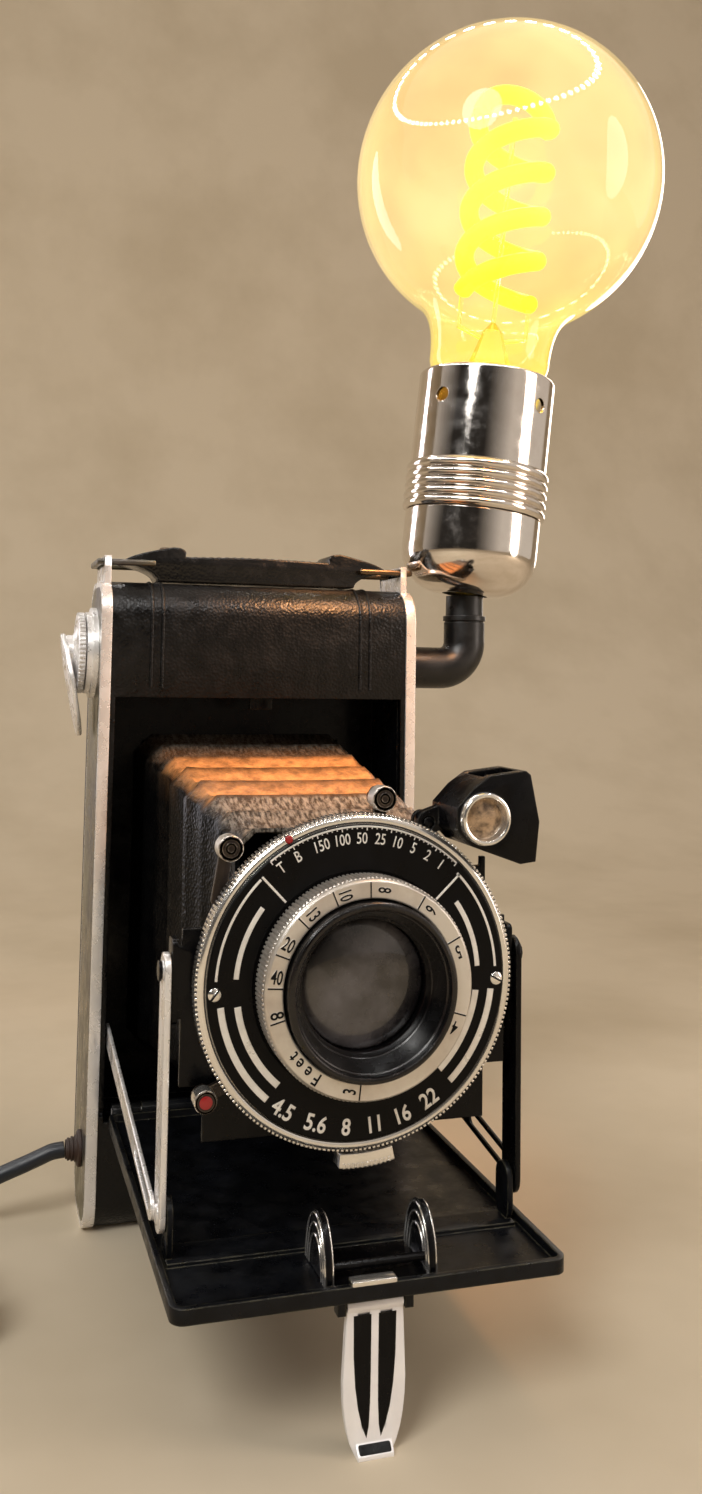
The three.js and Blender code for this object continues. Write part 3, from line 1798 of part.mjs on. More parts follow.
// Holder cap: a dome that the arm enters from below
function holderCap() {
  const arc = (radius, height, steps) =>
    Array.from({ length: steps + 1 }, (unused, i) => {
      const angle = (quarterTurn * i) / steps;
      return [
        capBottomFlat + (radius - capBottomFlat) * Math.sin(angle),
        height - height * Math.cos(angle),
      ];
    });
  const outside = arc(capRadius, capDomeHeight, arcSteps);
  const inside = arc(capRadius - capWall, capDomeHeight - capWall, arcSteps)
    .map(([r, h]) => [r, h + capWall])
    .reverse();
  return turnedZ(
    [
      [capNeckRadius, 0],
      ...outside,
      [capRadius, capHeight],
      [capRadius - capWall, capHeight],
      ...inside,
      [capNeckRadius, capWall],
    ],
    midRound,
  );
}

// Ribbed ring that clamps the sleeve to the cap
function holderRing() {
  const bottom = capHeight + seatGap;
  const pitch = ribRingHeight / ribCount;
  const ribs = Array.from({ length: ribCount }, (unused, i) => {
    const base = bottom + i * pitch;
    return [
      [ribRingRadius - ribGroove, base],
      [ribRingRadius, base + pitch / 3],
      [ribRingRadius, base + (2 * pitch) / 3],
    ];
  }).flat();
  return turnedZ(
    [
      [sleeveRadius - sleeveWall, bottom],
      ...ribs,
      [ribRingRadius - ribGroove, bottom + ribRingHeight],
      [sleeveRadius - sleeveWall, bottom + ribRingHeight],
    ],
    midRound,
  );
}

// Sleeve round the bulb's cap, with a ring of dimple holes near its top
function holderSleeve() {
  const bottom = capHeight + ribRingHeight + 2 * seatGap;
  const wall = turnedZ(
    [
      [sleeveRadius - sleeveWall, bottom],
      [sleeveRadius, bottom],
      [sleeveRadius, sleeveTop - sleeveWall],
      [sleeveRadius - sleeveWall / 2, sleeveTop],
      [sleeveRadius - sleeveWall, sleeveTop],
    ],
    midRound,
  );
  const holes = [0, 1, 2, 3].map((i) => {
    const drill = turnedX(
      disc(sleeveDimpleRadius, sleeveRadius - 2 * sleeveWall, sleeveRadius + cutOverrun),
      smallRound,
    );
    return drill
      .rotateZ(sleeveDimpleAngle + i * quarterTurn)
      .translate(0, 0, sleeveTop - sleeveDimpleBelowTop);
  });
  return cut(wall, ...holes);
}

function holderInsulator() {
  const outer = sleeveRadius - sleeveWall - seatGap;
  return turnedZ(tube(insulatorBore, outer, insulatorBottom, insulatorTop), midRound);
}

function screwShell() {
  return turnedZ(
    [
      [insulatorBore + capShellWall, insulatorTop + seatGap],
      [socketInner + socketWall, insulatorTop + seatGap],
      [socketInner + socketWall, socketTop],
      [socketInner, socketTop],
      [socketInner, insulatorTop + seatGap + socketWall],
      [insulatorBore + capShellWall, insulatorTop + seatGap + socketWall],
    ],
    midRound,
  );
}

function centreContact() {
  const post = pinZ(insulatorBore - runningGap, contactBottom, capTipHeight - runningGap, 0, 0);
  const foot1 = block(
    -contactHalfWidth * 2,
    contactHalfWidth * 2,
    -contactHalfWidth,
    contactHalfWidth,
    contactBottom - socketWall,
    contactBottom + joinOverlap,
  );
  return joined(post, foot1);
}

// Bulb envelope: a globe that runs down through a neck to its mouth in the cap
function bulbGlass() {
  const startAngle = -quarterTurn + Math.asin(neckRadius / globeRadius) + globeStartAngle;
  const globe = (radius) =>
    Array.from({ length: globeSteps + 1 }, (unused, i) => {
      const angle = startAngle + ((quarterTurn - startAngle) * i) / globeSteps;
      return [
        i === globeSteps ? 0 : radius * Math.cos(angle),
        globeCentre + radius * Math.sin(angle),
      ];
    });
  const outside = [
    [glassMouthRadius, glassMouthHeight],
    [glassMouthRadius, capTop + runningGap],
    [neckRadius - glassWall, neckHeight - neckTuck],
    [neckRadius, neckHeight],
    [neckRadius + neckFlare, neckHeight + neckFlareRise],
    ...globe(globeRadius),
  ];
  const inside = [
    ...globe(globeRadius - glassWall).reverse(),
    [neckRadius + neckFlare - glassWall, neckHeight + neckFlareRise],
    [neckRadius - glassWall, neckHeight],
    [neckRadius - 2 * glassWall, neckHeight - neckTuck],
    [glassMouthRadius - glassWall, capTop + 2 * runningGap],
    [glassMouthRadius - glassWall, glassMouthHeight],
  ];
  const points = [...outside, ...inside].map(([r, h]) => new THREE.Vector2(r, h));
  points.push(points[0].clone());
  return new THREE.LatheGeometry(points, midRound).applyMatrix4(zToX);
}

// Screw cap of the bulb, rolled into a round thread
function bulbCap() {
  const bottom = capTipHeight + capConeHeight;
  const pitch = (capTop - bottom - capConeHeight) / capThreads;
  const thread = Array.from({ length: capThreads }, (unused, i) => {
    const base = bottom + i * pitch;
    return [
      [capThreadRadius - capThreadDepth, base],
      [capThreadRadius, base + pitch / 2],
    ];
  }).flat();
  const inner = capThreadRadius - capThreadDepth - capShellWall;
  return turnedZ(
    [
      [tipBaseRadius + runningGap, bottom - capShellWall],
      ...thread,
      [capThreadRadius - capThreadDepth, capTop],
      [inner, capTop],
      [inner, bottom + capShellWall],
      [tipBaseRadius + runningGap, bottom + capShellWall],
    ],
    midRound,
  );
}

function bulbContact() {
  const bottom = capTipHeight + capConeHeight;
  return turnedZ(
    [
      [0, capTipHeight],
      [tipRadius, capTipHeight],
      [tipRadius, capTipHeight + capShellWall],
      [tipBaseRadius, bottom - capShellWall],
      [tipBaseRadius, bottom + 2 * capShellWall],
      [0, bottom + 2 * capShellWall],
    ],
    midRound,
  );
}

// Glass stem: it flares to the bulb's mouth, and its post and wires carry the filament
function bulbStem() {
  const footRadius = glassMouthRadius - glassWall - runningGap;
  const body = turnedZ(
    [
      [0, glassMouthHeight],
      [footRadius, glassMouthHeight],
      [footRadius, glassMouthHeight + glassWall],
      [stemRadius, glassMouthHeight + 3 * glassWall],
      [stemRadius, neckHeight],
      [stemTipRadius, stemTop - stemTipRadius],
      [filamentPostRadius, stemTop],
      [filamentPostRadius, filamentTop],
      [0, filamentTop],
    ],
    smallRound,
  );
  const wireTop = filamentBottom - filamentWire - runningGap;
  const wires = [-1, 1].map((side) =>
    sweptTube(
      [
        new THREE.Vector3(0, 0, stemTop - 2 * stemTipRadius),
        new THREE.Vector3(side * filamentRadius, 0, stemTop - stemTipRadius),
        new THREE.Vector3(side * filamentRadius, 0, wireTop),
      ],
      filamentPostRadius,
      loopSides,
      () => new THREE.Vector3(0, 1, 0),
    ),
  );
  return joined(body, ...wires);
}

// Filament: one glowing strand that winds up, arches over its post and winds back down
function filament() {
  const steps = filamentTurns * filamentStepsPerTurn;
  const strand = (share, shift) => {
    const angle = 2 * Math.PI * filamentTurns * share + shift;
    const height = filamentBottom + (filamentTop - filamentBottom) * share;
    return new THREE.Vector3(
      filamentRadius * Math.cos(angle),
      filamentRadius * Math.sin(angle),
      height,
    );
  };
  const rising = Array.from({ length: steps + 1 }, (unused, i) => strand(i / steps, 0));
  const topAngle = 2 * Math.PI * filamentTurns;
  const arch = Array.from({ length: filamentArchSteps - 1 }, (unused, i) => {
    const swing = (Math.PI * (i + 1)) / filamentArchSteps;
    const radius = filamentRadius * Math.cos(swing);
    return new THREE.Vector3(
      radius * Math.cos(topAngle),
      radius * Math.sin(topAngle),
      filamentTop + filamentArch * Math.sin(swing),
    );
  });
  const falling = Array.from({ length: steps + 1 }, (unused, i) => strand(1 - i / steps, Math.PI));
  const across = new THREE.Vector3(-Math.sin(topAngle), Math.cos(topAngle), 0);
  const points = [...rising, ...arch, ...falling];
  const guides = points.map((point, i) => {
    if (i > steps && i < steps + filamentArchSteps) return across;
    return new THREE.Vector3(0, 0, 1);
  });
  return sweptTube(points, filamentWire, loopSides, (i) => guides[i]);
}

// Mains lead
function cordGland() {
  return turnedX(
    [
      [0, -glandOuterX],
      [glandTailRadius + joinOverlap, -glandOuterX],
      [glandRadius, -plateOuterX - 2 * cutOverrun],
      [glandRadius, -plateOuterX - cutOverrun],
      [glandFlangeRadius, -plateOuterX - cutOverrun],
      [glandFlangeRadius, -plateOuterX - seatGap],
      [glandRadius, -plateOuterX - seatGap],
      [glandRadius, -plateInnerX],
      [glandTailRadius, -glandInnerX],
      [0, -glandInnerX],
    ],
    smallRound,
  ).translate(0, glandY, glandZ);
}

function cordLead() {
  const start = new THREE.Vector3(-glandOuterX - cordFaceGap, glandY, glandZ);
  const end = new THREE.Vector3(coilCentreX + cordFaceGap / 2, glandY, cordRadius + cordClear);
  const points = [start, ...leadRoute.map((p) => new THREE.Vector3(...p)), end];
  const curve = new THREE.CatmullRomCurve3(points, false, "centripetal");
  return sweptTube(curve.getSpacedPoints(cordLeadSteps), cordRadius, tubeSides);
}

// Coil: four layers that spiral in and out again, then a tail down to the plug
function coilPoints() {
  const perLayer = coilTurns / coilLayers;
  const outerRadius = coilMeanRadius + (perLayer * coilPitch) / 2;
  const steps = Math.round(coilTurns * coilStepsPerTurn);
  const centreY = glandY + outerRadius;
  const baseZ = cordRadius + cordClear;
  const points = [];
  for (let i = 0; i <= steps; i++) {
    const turn = (coilTurns * i) / steps;
    const layer = Math.min(Math.floor(turn / perLayer), coilLayers - 1);
    const within = turn - layer * perLayer;
    const inward = layer % 2 === 0;
    const radius = outerRadius - coilPitch * (inward ? within : perLayer - within);
    const angle = -quarterTurn - 2 * Math.PI * turn;
    const nearest = Math.round(turn / perLayer);
    const fromReversal = turn - nearest * perLayer;
    const reverses = nearest > 0 && nearest < coilLayers && Math.abs(fromReversal) < 1 / 4;
    const level = reverses ? nearest - 1 / 2 + 2 * fromReversal : layer;
    points.push(
      new THREE.Vector3(
        coilCentreX + radius * Math.cos(angle),
        centreY + radius * Math.sin(angle),
        baseZ + level * coilPitch,
      ),
    );
  }
  return points;
}

function cordCoil() {
  const points = coilPoints();
  points[0].x -= cordFaceGap / 2;
  const last = points[points.length - 1];
  const tail = [
    last,
    ...tailRoute.map(([x, y, z]) => new THREE.Vector3(last.x + x, last.y + y, last.z + z)),
    new THREE.Vector3(last.x, last.y - tailReach, last.z - tailEndDrop),
  ];
  points.push(...tail.slice(1));
  return sweptTube(points, cordRadius, loopSides);
}

// Least gap between turns of the coil, measured on its points
function coilGap() {
  const points = coilPoints();
  let least = Infinity;
  points.forEach((p, i) => {
    for (let j = i + coilStepsPerTurn / 2; j < points.length; j++) {
      least = Math.min(least, p.distanceTo(points[j]));
    }
  });
  return least - 2 * cordRadius;
}

function plugFrame() {
  const points = coilPoints();
  const last = points[points.length - 1];
  const rearY = last.y - tailReach - cordFaceGap;
  return { x: last.x, rearY, z: last.z - tailEndDrop };
}

function plugBody() {
  const { x, rearY, z } = plugFrame();
  const front = rearY - plugLength;
  const shape = new THREE.Shape();
  shape.moveTo(x - plugHalfWidth, front);
  shape.lineTo(x + plugHalfWidth, front);
  shape.lineTo(x + plugHalfWidth, front + plugShoulder);
  shape.quadraticCurveTo(
    x + plugRearHalfWidth,
    (front + rearY) / 2,
    x + plugRearHalfWidth,
    rearY,
  );
  shape.lineTo(x - plugRearHalfWidth, rearY);
  shape.quadraticCurveTo(
    x - plugRearHalfWidth,
    (front + rearY) / 2,
    x - plugHalfWidth,
    front + plugShoulder,
  );
  return slabZ(shape, z - plugHalfHeight, z + plugHalfHeight);
}

function plugPin(side) {
  const { x, rearY, z } = plugFrame();
  const from = -(rearY - plugLength) + pinSeat;
  const nose = from + pinLength;
  return turnedFront(
    [
      [0, from],
      [pinRadius, from],
      [pinRadius, nose - pinRadius / 2],
      [pinRadius / 2, nose],
      [0, nose],
    ],
    smallRound,
  ).translate(x + side * pinSpacing, 0, z);
}

// Inner lead from the gland, past the film gate and into the arm
function innerLead() {
  const points = [
    new THREE.Vector3(-glandInnerX + runningGap, glandY, glandZ),
    ...innerLeadRoute.map((p) => new THREE.Vector3(...p)),
    new THREE.Vector3(armInnerX, armY, armZ),
    new THREE.Vector3(armX - armBend, armY, armZ),
  ];
  const curve = new THREE.CatmullRomCurve3(points, false, "centripetal");
  const guide = new THREE.Vector3(1, 1, 0).normalize();
  return sweptTube(curve.getSpacedPoints(innerLeadSteps), innerLeadRadius, loopSides, () => guide);
}

// Pins that lie on the two hinge lines
function hingePin() {
  const end = knuckleHalfLength + runningGap + bodyKnuckleLength;
  return pinX(hingePinRadius, -end, end, frontY, hingeZ);
}

function doorPin() {
  const end = doorBarrelHalfLength + runningGap + doorEarLength;
  return pinX(doorPinRadius, -end, end, doorAxisY, doorHingeZ);
}

// Assembly
const camera = new THREE.Group();
camera.add(
  piece("body_shell", bodyShell(), leather),
  piece("side_plate_left", leftPlate(), nickel),
  piece("side_plate_right", rightPlate(), nickel),
  piece("film_gate", filmGate(), black),
  piece("bellows", bellows(), leather),
  piece("bed_hinge_pin", hingePin(), nickel),
  piece("back_door", backDoor(), leather),
  piece("pressure_plate", pressurePlate(), black),
  piece("red_window", redWindow(), redGlass),
  piece("window_cover", windowCover(), nickel),
  piece("back_catch", backCatch(), nickel),
  piece("bed_catch", bedCatch(), nickel),
  piece("strap", strap(), leather),
  piece("strap_ring_left", strapRing(-1), nickel),
  piece("strap_ring_right", strapRing(1), nickel),
  piece("bed", bed(), black),
  piece("bed_guide", bedGuide(), black),
  piece("foot", foot(), nickel),
  piece("leg_left", leg(-1), nickel),
  piece("leg_right", leg(1), black),
  piece("strut_left", strut(-1), nickel),
  piece("strut_right", strut(1), nickel),
);

const key = piece("winding_key", windingKey(), nickel);
key.position.set(0, keyY, keyZ);
camera.add(key);

// Everything on the lens axis is drawn round it
const shutter = new THREE.Group();
shutter.position.set(0, pivotY, lensZ);
shutter.add(
  piece("front_standard", frontStandard(), black),
  piece("shutter_housing", shutterHousing(), nickel),
  piece("face_plate", facePlate(), black),
  piece("speed_ring", speedRing(), nickel),
  piece("focus_ring", focusRing(), silver),
  piece("lens_bezel", lensBezel(), black),
  piece("front_glass", frontGlass(), clearGlass),
  piece("shutter_blades", shutterBlades(), black),
  piece("rear_cell", rearCell(), black),
  piece("cocking_lever", lever(cockingButton, cockingHugAngle, leverButtonRadius), nickel),
  piece("release_lever", lever(releaseButton, releaseHugAngle, leverButtonRadius), nickel),
  piece("timer_lever", lever(timerButton, timerHugAngle, timerButtonRadius), nickel),
  piece("aperture_lever", apertureLever(), nickel),
  piece("finder_bracket", finderBracket(), black),
  piece("finder_body", finderBody(), black),
  piece("finder_window", finderWindow(), nickel),
  piece("finder_top_glass", finderTopGlass(), clearGlass),
);
camera.add(shutter);

// Holder and bulb lean a little away from the camera
const lamp = new THREE.Group();
lamp.position.set(armX, armY, holderBaseZ);
lamp.rotation.y = holderTilt;
lamp.add(
  piece("holder_cap", holderCap(), nickel),
  piece("holder_ring", holderRing(), nickel),
  piece("holder_sleeve", holderSleeve(), nickel),
  piece("holder_insulator", holderInsulator(), ceramic),
  piece("screw_shell", screwShell(), brass),
  piece("centre_contact", centreContact(), brass),
  piece("bulb_glass", bulbGlass(), amberGlass),
  piece("bulb_stem", bulbStem(), clearGlass),
  piece("filament", filament(), glow),
  piece("bulb_cap", bulbCap(), nickel),
  piece("bulb_contact", bulbContact(), black),
);

const wiring = new THREE.Group();
wiring.add(
  piece("arm_tube", armTube(), black),
  piece("arm_nut", armNut(), brass),
  piece("inner_lead", innerLead(), darkRubber),
  piece("cord_gland", cordGland(), brownRubber),
  piece("cord_lead", cordLead(), darkRubber),
  piece("cord_coil", cordCoil(), darkRubber),
  piece("plug_body", plugBody(), darkRubber),
  piece("plug_pin_left", plugPin(-1), nickel),
  piece("plug_pin_right", plugPin(1), nickel),
);

console.log("least gap between the coil's turns: " + coilGap().toFixed(2) + " mm");

const camera_lamp = new THREE.Group();
camera_lamp.add(camera, lamp, wiring);
export default camera_lamp;
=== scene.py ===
"""Looks of a folding roll-film camera made into a table lamp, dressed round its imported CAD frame."""
import logging
import math
from dataclasses import dataclass
from enum import Enum
from typing import Sequence

import bmesh
import bpy
from mathutils import Matrix, Vector


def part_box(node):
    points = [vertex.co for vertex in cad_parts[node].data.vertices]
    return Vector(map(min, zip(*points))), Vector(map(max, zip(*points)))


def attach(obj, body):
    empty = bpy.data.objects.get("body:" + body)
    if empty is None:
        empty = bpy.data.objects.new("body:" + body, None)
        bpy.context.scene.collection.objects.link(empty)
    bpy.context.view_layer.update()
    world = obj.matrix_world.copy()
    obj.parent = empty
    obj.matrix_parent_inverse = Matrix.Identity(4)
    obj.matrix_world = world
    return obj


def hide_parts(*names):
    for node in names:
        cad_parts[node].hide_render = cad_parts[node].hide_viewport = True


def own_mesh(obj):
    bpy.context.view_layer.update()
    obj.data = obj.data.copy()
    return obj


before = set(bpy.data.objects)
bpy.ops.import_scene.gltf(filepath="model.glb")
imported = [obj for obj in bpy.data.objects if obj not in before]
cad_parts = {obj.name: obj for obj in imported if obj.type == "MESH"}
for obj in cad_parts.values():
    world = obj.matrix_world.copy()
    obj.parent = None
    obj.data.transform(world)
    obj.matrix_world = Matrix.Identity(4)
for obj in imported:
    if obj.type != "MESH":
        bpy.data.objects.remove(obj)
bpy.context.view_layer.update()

LOG = logging.getLogger("camera_lamp")
MM = 0.001
PATCH_ROUGHNESS = 0.6

Object = bpy.types.Object
Mesh = bpy.types.Mesh
Socket = bpy.types.NodeSocket
Tree = bpy.types.NodeTree
Point = tuple[float, float, float]
Flat = tuple[float, float]

# Local z is a depth forward of the legs' upper pivots, local x and y count from the lens axis
LENS = Matrix.Translation((0, -92.5, 80)) @ Matrix.Rotation(math.pi / 2, 4, "X")
# Local z is a height along the tilted axis of the bulb holder
LAMP = Matrix.Translation((60.3, -6.5, 161.8)) @ Matrix.Rotation(0.105, 4, "Y")
# Local z points left and local x up, for what turns on the body's side plates
LEFTWARD = Matrix.Rotation(-math.pi / 2, 4, "Y")


class Side(Enum):
    """The two sides of the camera, seen from its front."""

    LEFT = -1
    RIGHT = 1


class Relief(Enum):
    """The kinds of fine relief that a finish can have."""

    MOTTLED = "mottled"
    PEBBLED = "pebbled"
    BRUSHED = "brushed"


# Nodes and materials


def linear(colour: str) -> tuple[float, float, float, float]:
    """Turns an sRGB hex colour to linear values.

    Args:
        colour: Such as "#17161a".

    Returns:
        Red, green and blue, with full alpha.
    """
    values = [int(colour[i : i + 2], 16) / 255 for i in (1, 3, 5)]
    turned = [v / 12.92 if v <= 0.04045 else ((v + 0.055) / 1.055) ** 2.4 for v in values]
    return (turned[0], turned[1], turned[2], 1.0)


def add_node(tree: Tree, kind: str, inputs: dict | None = None, settings: dict | None = None) -> Sequence[Socket]:
    """Adds one node with the values or links of its inputs, and its settings.

    Args:
        tree: Node tree that the node goes in.
        kind: Node type.
        inputs: Values or sockets by the input's name or index.
        settings: Properties by name.

    Returns:
        The node's outputs, by index or name.
    """
    node = tree.nodes.new(kind)
    for key, value in (settings or {}).items():
        setattr(node, key, value)
    for key, value in (inputs or {}).items():
        if isinstance(value, bpy.types.NodeSocket):
            tree.links.new(value, node.inputs[key])
        else:
            node.inputs[key].default_value = value
    return node.outputs


def layered(tree: Tree, base: Socket | Sequence[float], *coats: tuple) -> Socket:
    """Lays colours over each other.

    Args:
        tree: Node tree of the material.
        base: Lowest colour, or its socket.
        *coats: Share and colour of each further coat, from the lowest up.

    Returns:
        The colour that shows.
    """
    for share, colour in coats:
        base = add_node(tree, "ShaderNodeMix", {0: share, 6: base, 7: colour}, {"data_type": "RGBA"})[2]
    return base


def patched(tree: Tree, place: Socket, size_mm: float, detail: float, spans: Sequence[float]) -> Socket:
    """Gives soft random patches of a real size, mapped from one range to another.

    Args:
        tree: Node tree of the material.
        place: Coordinates.
        size_mm: Size of the patches.
        detail: Octaves.
        spans: Low and high of the pattern, and what they become.

    Returns:
        The mapped value.
    """
    inputs = {"Vector": place, "Scale": 1 / (size_mm * MM), "Detail": detail, "Roughness": PATCH_ROUGHNESS}
    inputs = {0: add_node(tree, "ShaderNodeTexNoise", inputs)[0], **dict(enumerate(spans, 1))}
    return add_node(tree, "ShaderNodeMapRange", inputs)[0]


class Surface:
    """What every finish shares: its material is made once, from its own nodes."""

    label: str

    def material(self) -> bpy.types.Material:
        """Returns the material, made once."""
        found = bpy.data.materials.get(self.label)
        if found:
            return found
        made = bpy.data.materials.new(self.label)
        made.use_nodes = True
        tree = made.node_tree
        place = add_node(tree, "ShaderNodeTexCoord")["Object"]
        self.shade(tree, tree.nodes["Principled BSDF"], place)
        return made

    def shade(self, tree: Tree, shader: bpy.types.Node, place: Socket) -> None:
        """Sets the shader up.

        Args:
            tree: Node tree of the material.
            shader: Its shader.
            place: Object coordinates.
        """
        raise NotImplementedError


@dataclass(frozen=True)
class Finish(Surface):
    """A surface with patches of a second tone, a fine relief, and edges that are rounded and may be worn."""

    label: str
    colour: str
    tone: str
    roughness: float
    metallic: float = 0.0
    patch_mm: float = 14.0
    patch_share: float = 0.4
    relief: Relief = Relief.MOTTLED
    grain_mm: float = 0.6
    relief_mm: float = 0.01
    spread: float = 0.1
    edge_mm: float = 0.35
    worn: str = ""
    worn_share: float = 0.8
    coat: float = 0.0
    coat_roughness: float = 0.1
    sheen: float = 0.0
    specular: float = 0.5
    scuff_mm: float = 2.4
    smear_mm: float = 5.0

    def shade(self, tree: Tree, shader: bpy.types.Node, place: Socket) -> None:
        """Sets up the patches, the wear of the edges, the uneven gloss and the relief.

        Args:
            tree: Node tree of the material.
            shader: Its shader.
            place: Object coordinates.
        """
        share = patched(tree, place, self.patch_mm, 5, (0.42, 0.66, 0, self.patch_share))
        colour = self.coloured(tree, place, share)
        rounded = add_node(tree, "ShaderNodeBevel", {"Radius": self.edge_mm * MM}, {"samples": 4})[0]
        if self.worn:
            inputs = {0: rounded, 1: add_node(tree, "ShaderNodeNewGeometry")["Normal"]}
            turn = add_node(tree, "ShaderNodeVectorMath", inputs, {"operation": "DOT_PRODUCT"})["Value"]
            inputs = {0: turn, 1: 0.995, 2: 0.88, 3: 0, 4: self.worn_share}
            edge = add_node(tree, "ShaderNodeMapRange", inputs)[0]
            inputs = {0: edge, 1: patched(tree, place, self.scuff_mm, 4, (0.4, 0.6, 0.15, 1))}
            worn = add_node(tree, "ShaderNodeMath", inputs, {"operation": "MULTIPLY"})[0]
            colour = layered(tree, colour, (worn, linear(self.worn)))
        tree.links.new(colour, shader.inputs["Base Color"])
        low, high = max(self.roughness - self.spread, 0.02), self.roughness + self.spread
        tree.links.new(patched(tree, place, self.smear_mm, 4, (0.35, 0.65, low, high)), shader.inputs["Roughness"])
        inputs = {"Strength": 1, "Distance": self.relief_mm * MM, "Height": self.height(tree, place)}
        inputs["Normal"] = rounded
        tree.links.new(add_node(tree, "ShaderNodeBump", inputs)[0], shader.inputs["Normal"])
        for name, value in (
            ("Metallic", self.metallic), ("Coat Weight", self.coat), ("Coat Roughness", self.coat_roughness),
            ("Sheen Weight", self.sheen), ("Specular IOR Level", self.specular),
        ):
            shader.inputs[name].default_value = value

    def coloured(self, tree: Tree, place: Socket, share: Socket) -> Socket:
        """Gives the colour.

        Args:
            tree: Node tree of the material.
            place: Object coordinates, not used here.
            share: Share of the second tone.

        Returns:
            The colour before wear.
        """
        return layered(tree, linear(self.colour), (share, linear(self.tone)))

    def height(self, tree: Tree, place: Socket) -> Socket:
        """Gives the relief's height, from 0 to 1.

        Args:
            tree: Node tree of the material.
            place: Object coordinates.

        Returns:
            The height.
        """
        grain = {"Vector": place, "Scale": 1 / (self.grain_mm * MM), "Detail": 3, "Roughness": PATCH_ROUGHNESS}
        if self.relief is Relief.PEBBLED:
            inputs = {"Vector": place, "Scale": grain["Scale"], "Smoothness": 0.6}
            cells = add_node(tree, "ShaderNodeTexVoronoi", inputs, {"feature": "SMOOTH_F1"})["Distance"]
            inputs = grain | {"Scale": 1 / (self.grain_mm * 4 * MM)}
            creases = add_node(tree, "ShaderNodeTexNoise", inputs)[0]
            inputs = {0: creases, 1: 0.4, 2: cells}
            return add_node(tree, "ShaderNodeMath", inputs, {"operation": "MULTIPLY_ADD"})[0]
        if self.relief is Relief.BRUSHED:
            stretched = add_node(tree, "ShaderNodeMapping", {"Vector": place, "Scale": (1, 1, 0.04)})[0]
            grain |= {"Vector": stretched, "Detail": 2}
        return add_node(tree, "ShaderNodeTexNoise", grain)[0]


@dataclass(frozen=True)
class PleatedLeather(Finish):
    """Thin bellows leather: grey-black, with painted warm light on its upper panels and silvery cracks mixed with a
    painted highlight on the tops of the front pleats.
    """

    # Colours of the painted warm light and of the cracks with painted highlight
    tan: str = "#d09c68"
    silver: str = "#a89f93"
    streak_mm: float = 3.2
    crack_mm: float = 1.6
    crack_draw: Point = (2.0, 0.5, 1.0)

    def coloured(self, tree: Tree, place: Socket, share: Socket) -> Socket:
        """Colours the panels by the mesh's own attributes, which mark where the painted warm light and the painted
        highlight go.

        Args:
            tree: Node tree of the material.
            place: Object coordinates.
            share: Share of the second tone.

        Returns:
            The colour before wear.
        """
        inputs = {0: place, 1: self.crack_draw}
        drawn = add_node(tree, "ShaderNodeVectorMath", inputs, {"operation": "MULTIPLY"})[0]
        coats = [(share, linear(self.tone))]
        # Painted warm light on the upper panels, and silvery cracks with painted highlight on the front pleats' tops,
        # each broken up by a pattern
        for name, colour, pattern in (
            ("tan", self.tan, patched(tree, place, self.streak_mm, 5, (0.38, 0.62, 0.45, 1))),
            ("silver", self.silver, patched(tree, drawn, self.crack_mm, 5, (0.42, 0.62, 0.08, 1))),
        ):
            mark = add_node(tree, "ShaderNodeAttribute", settings={"attribute_name": name})["Fac"]
            painted_light_share = add_node(tree, "ShaderNodeMath", {0: mark, 1: pattern}, {"operation": "MULTIPLY"})[0]
            coats.append((painted_light_share, linear(colour)))
        return layered(tree, linear(self.colour), *coats)


@dataclass(frozen=True)
class Glass(Surface):
    """Clear or tinted glass, which may carry a faint painted glow: light of the lamp inside it, painted into the
    glass.
    """

    label: str
    colour: str
    roughness: float = 0.02
    ior: float = 1.5
    glow: str = ""
    neck_glow: str = ""
    glow_strength: float = 0.0
    neck_top: Flat = (0.238, 0.262)
    smudge_mm: float = 9.0
    veil_mm: float = 34.0

    def shade(self, tree: Tree, shader: bpy.types.Node, place: Socket) -> None:
        """Sets up the clear body with faint smudges, and the painted glow, which is yellower below the neck's top.

        Args:
            tree: Node tree of the material.
            shader: Its shader.
            place: Object coordinates.
        """
        shader.inputs["Base Color"].default_value = linear(self.colour)
        shader.inputs["IOR"].default_value = self.ior
        shader.inputs["Transmission Weight"].default_value = 1.0
        smudges = patched(tree, place, self.smudge_mm, 4, (0.45, 0.7, self.roughness, self.roughness + 0.04))
        tree.links.new(smudges, shader.inputs["Roughness"])
        # The glow is painted light, an emission on the glass itself
        if self.glow:
            shader.inputs["Emission Strength"].default_value = self.glow_strength
            height = add_node(tree, "ShaderNodeSeparateXYZ", {0: place})["Z"]
            inputs = {0: height, 1: self.neck_top[0], 2: self.neck_top[1], 3: 0, 4: 1}
            above = add_node(tree, "ShaderNodeMapRange", inputs)[0]
            colour = layered(tree, linear(self.neck_glow), (above, linear(self.glow)))
            veil = patched(tree, place, self.veil_mm, 2, (0.35, 0.65, 0.62, 1))
            tree.links.new(layered(tree, (0, 0, 0, 1), (veil, colour)), shader.inputs["Emission Color"])


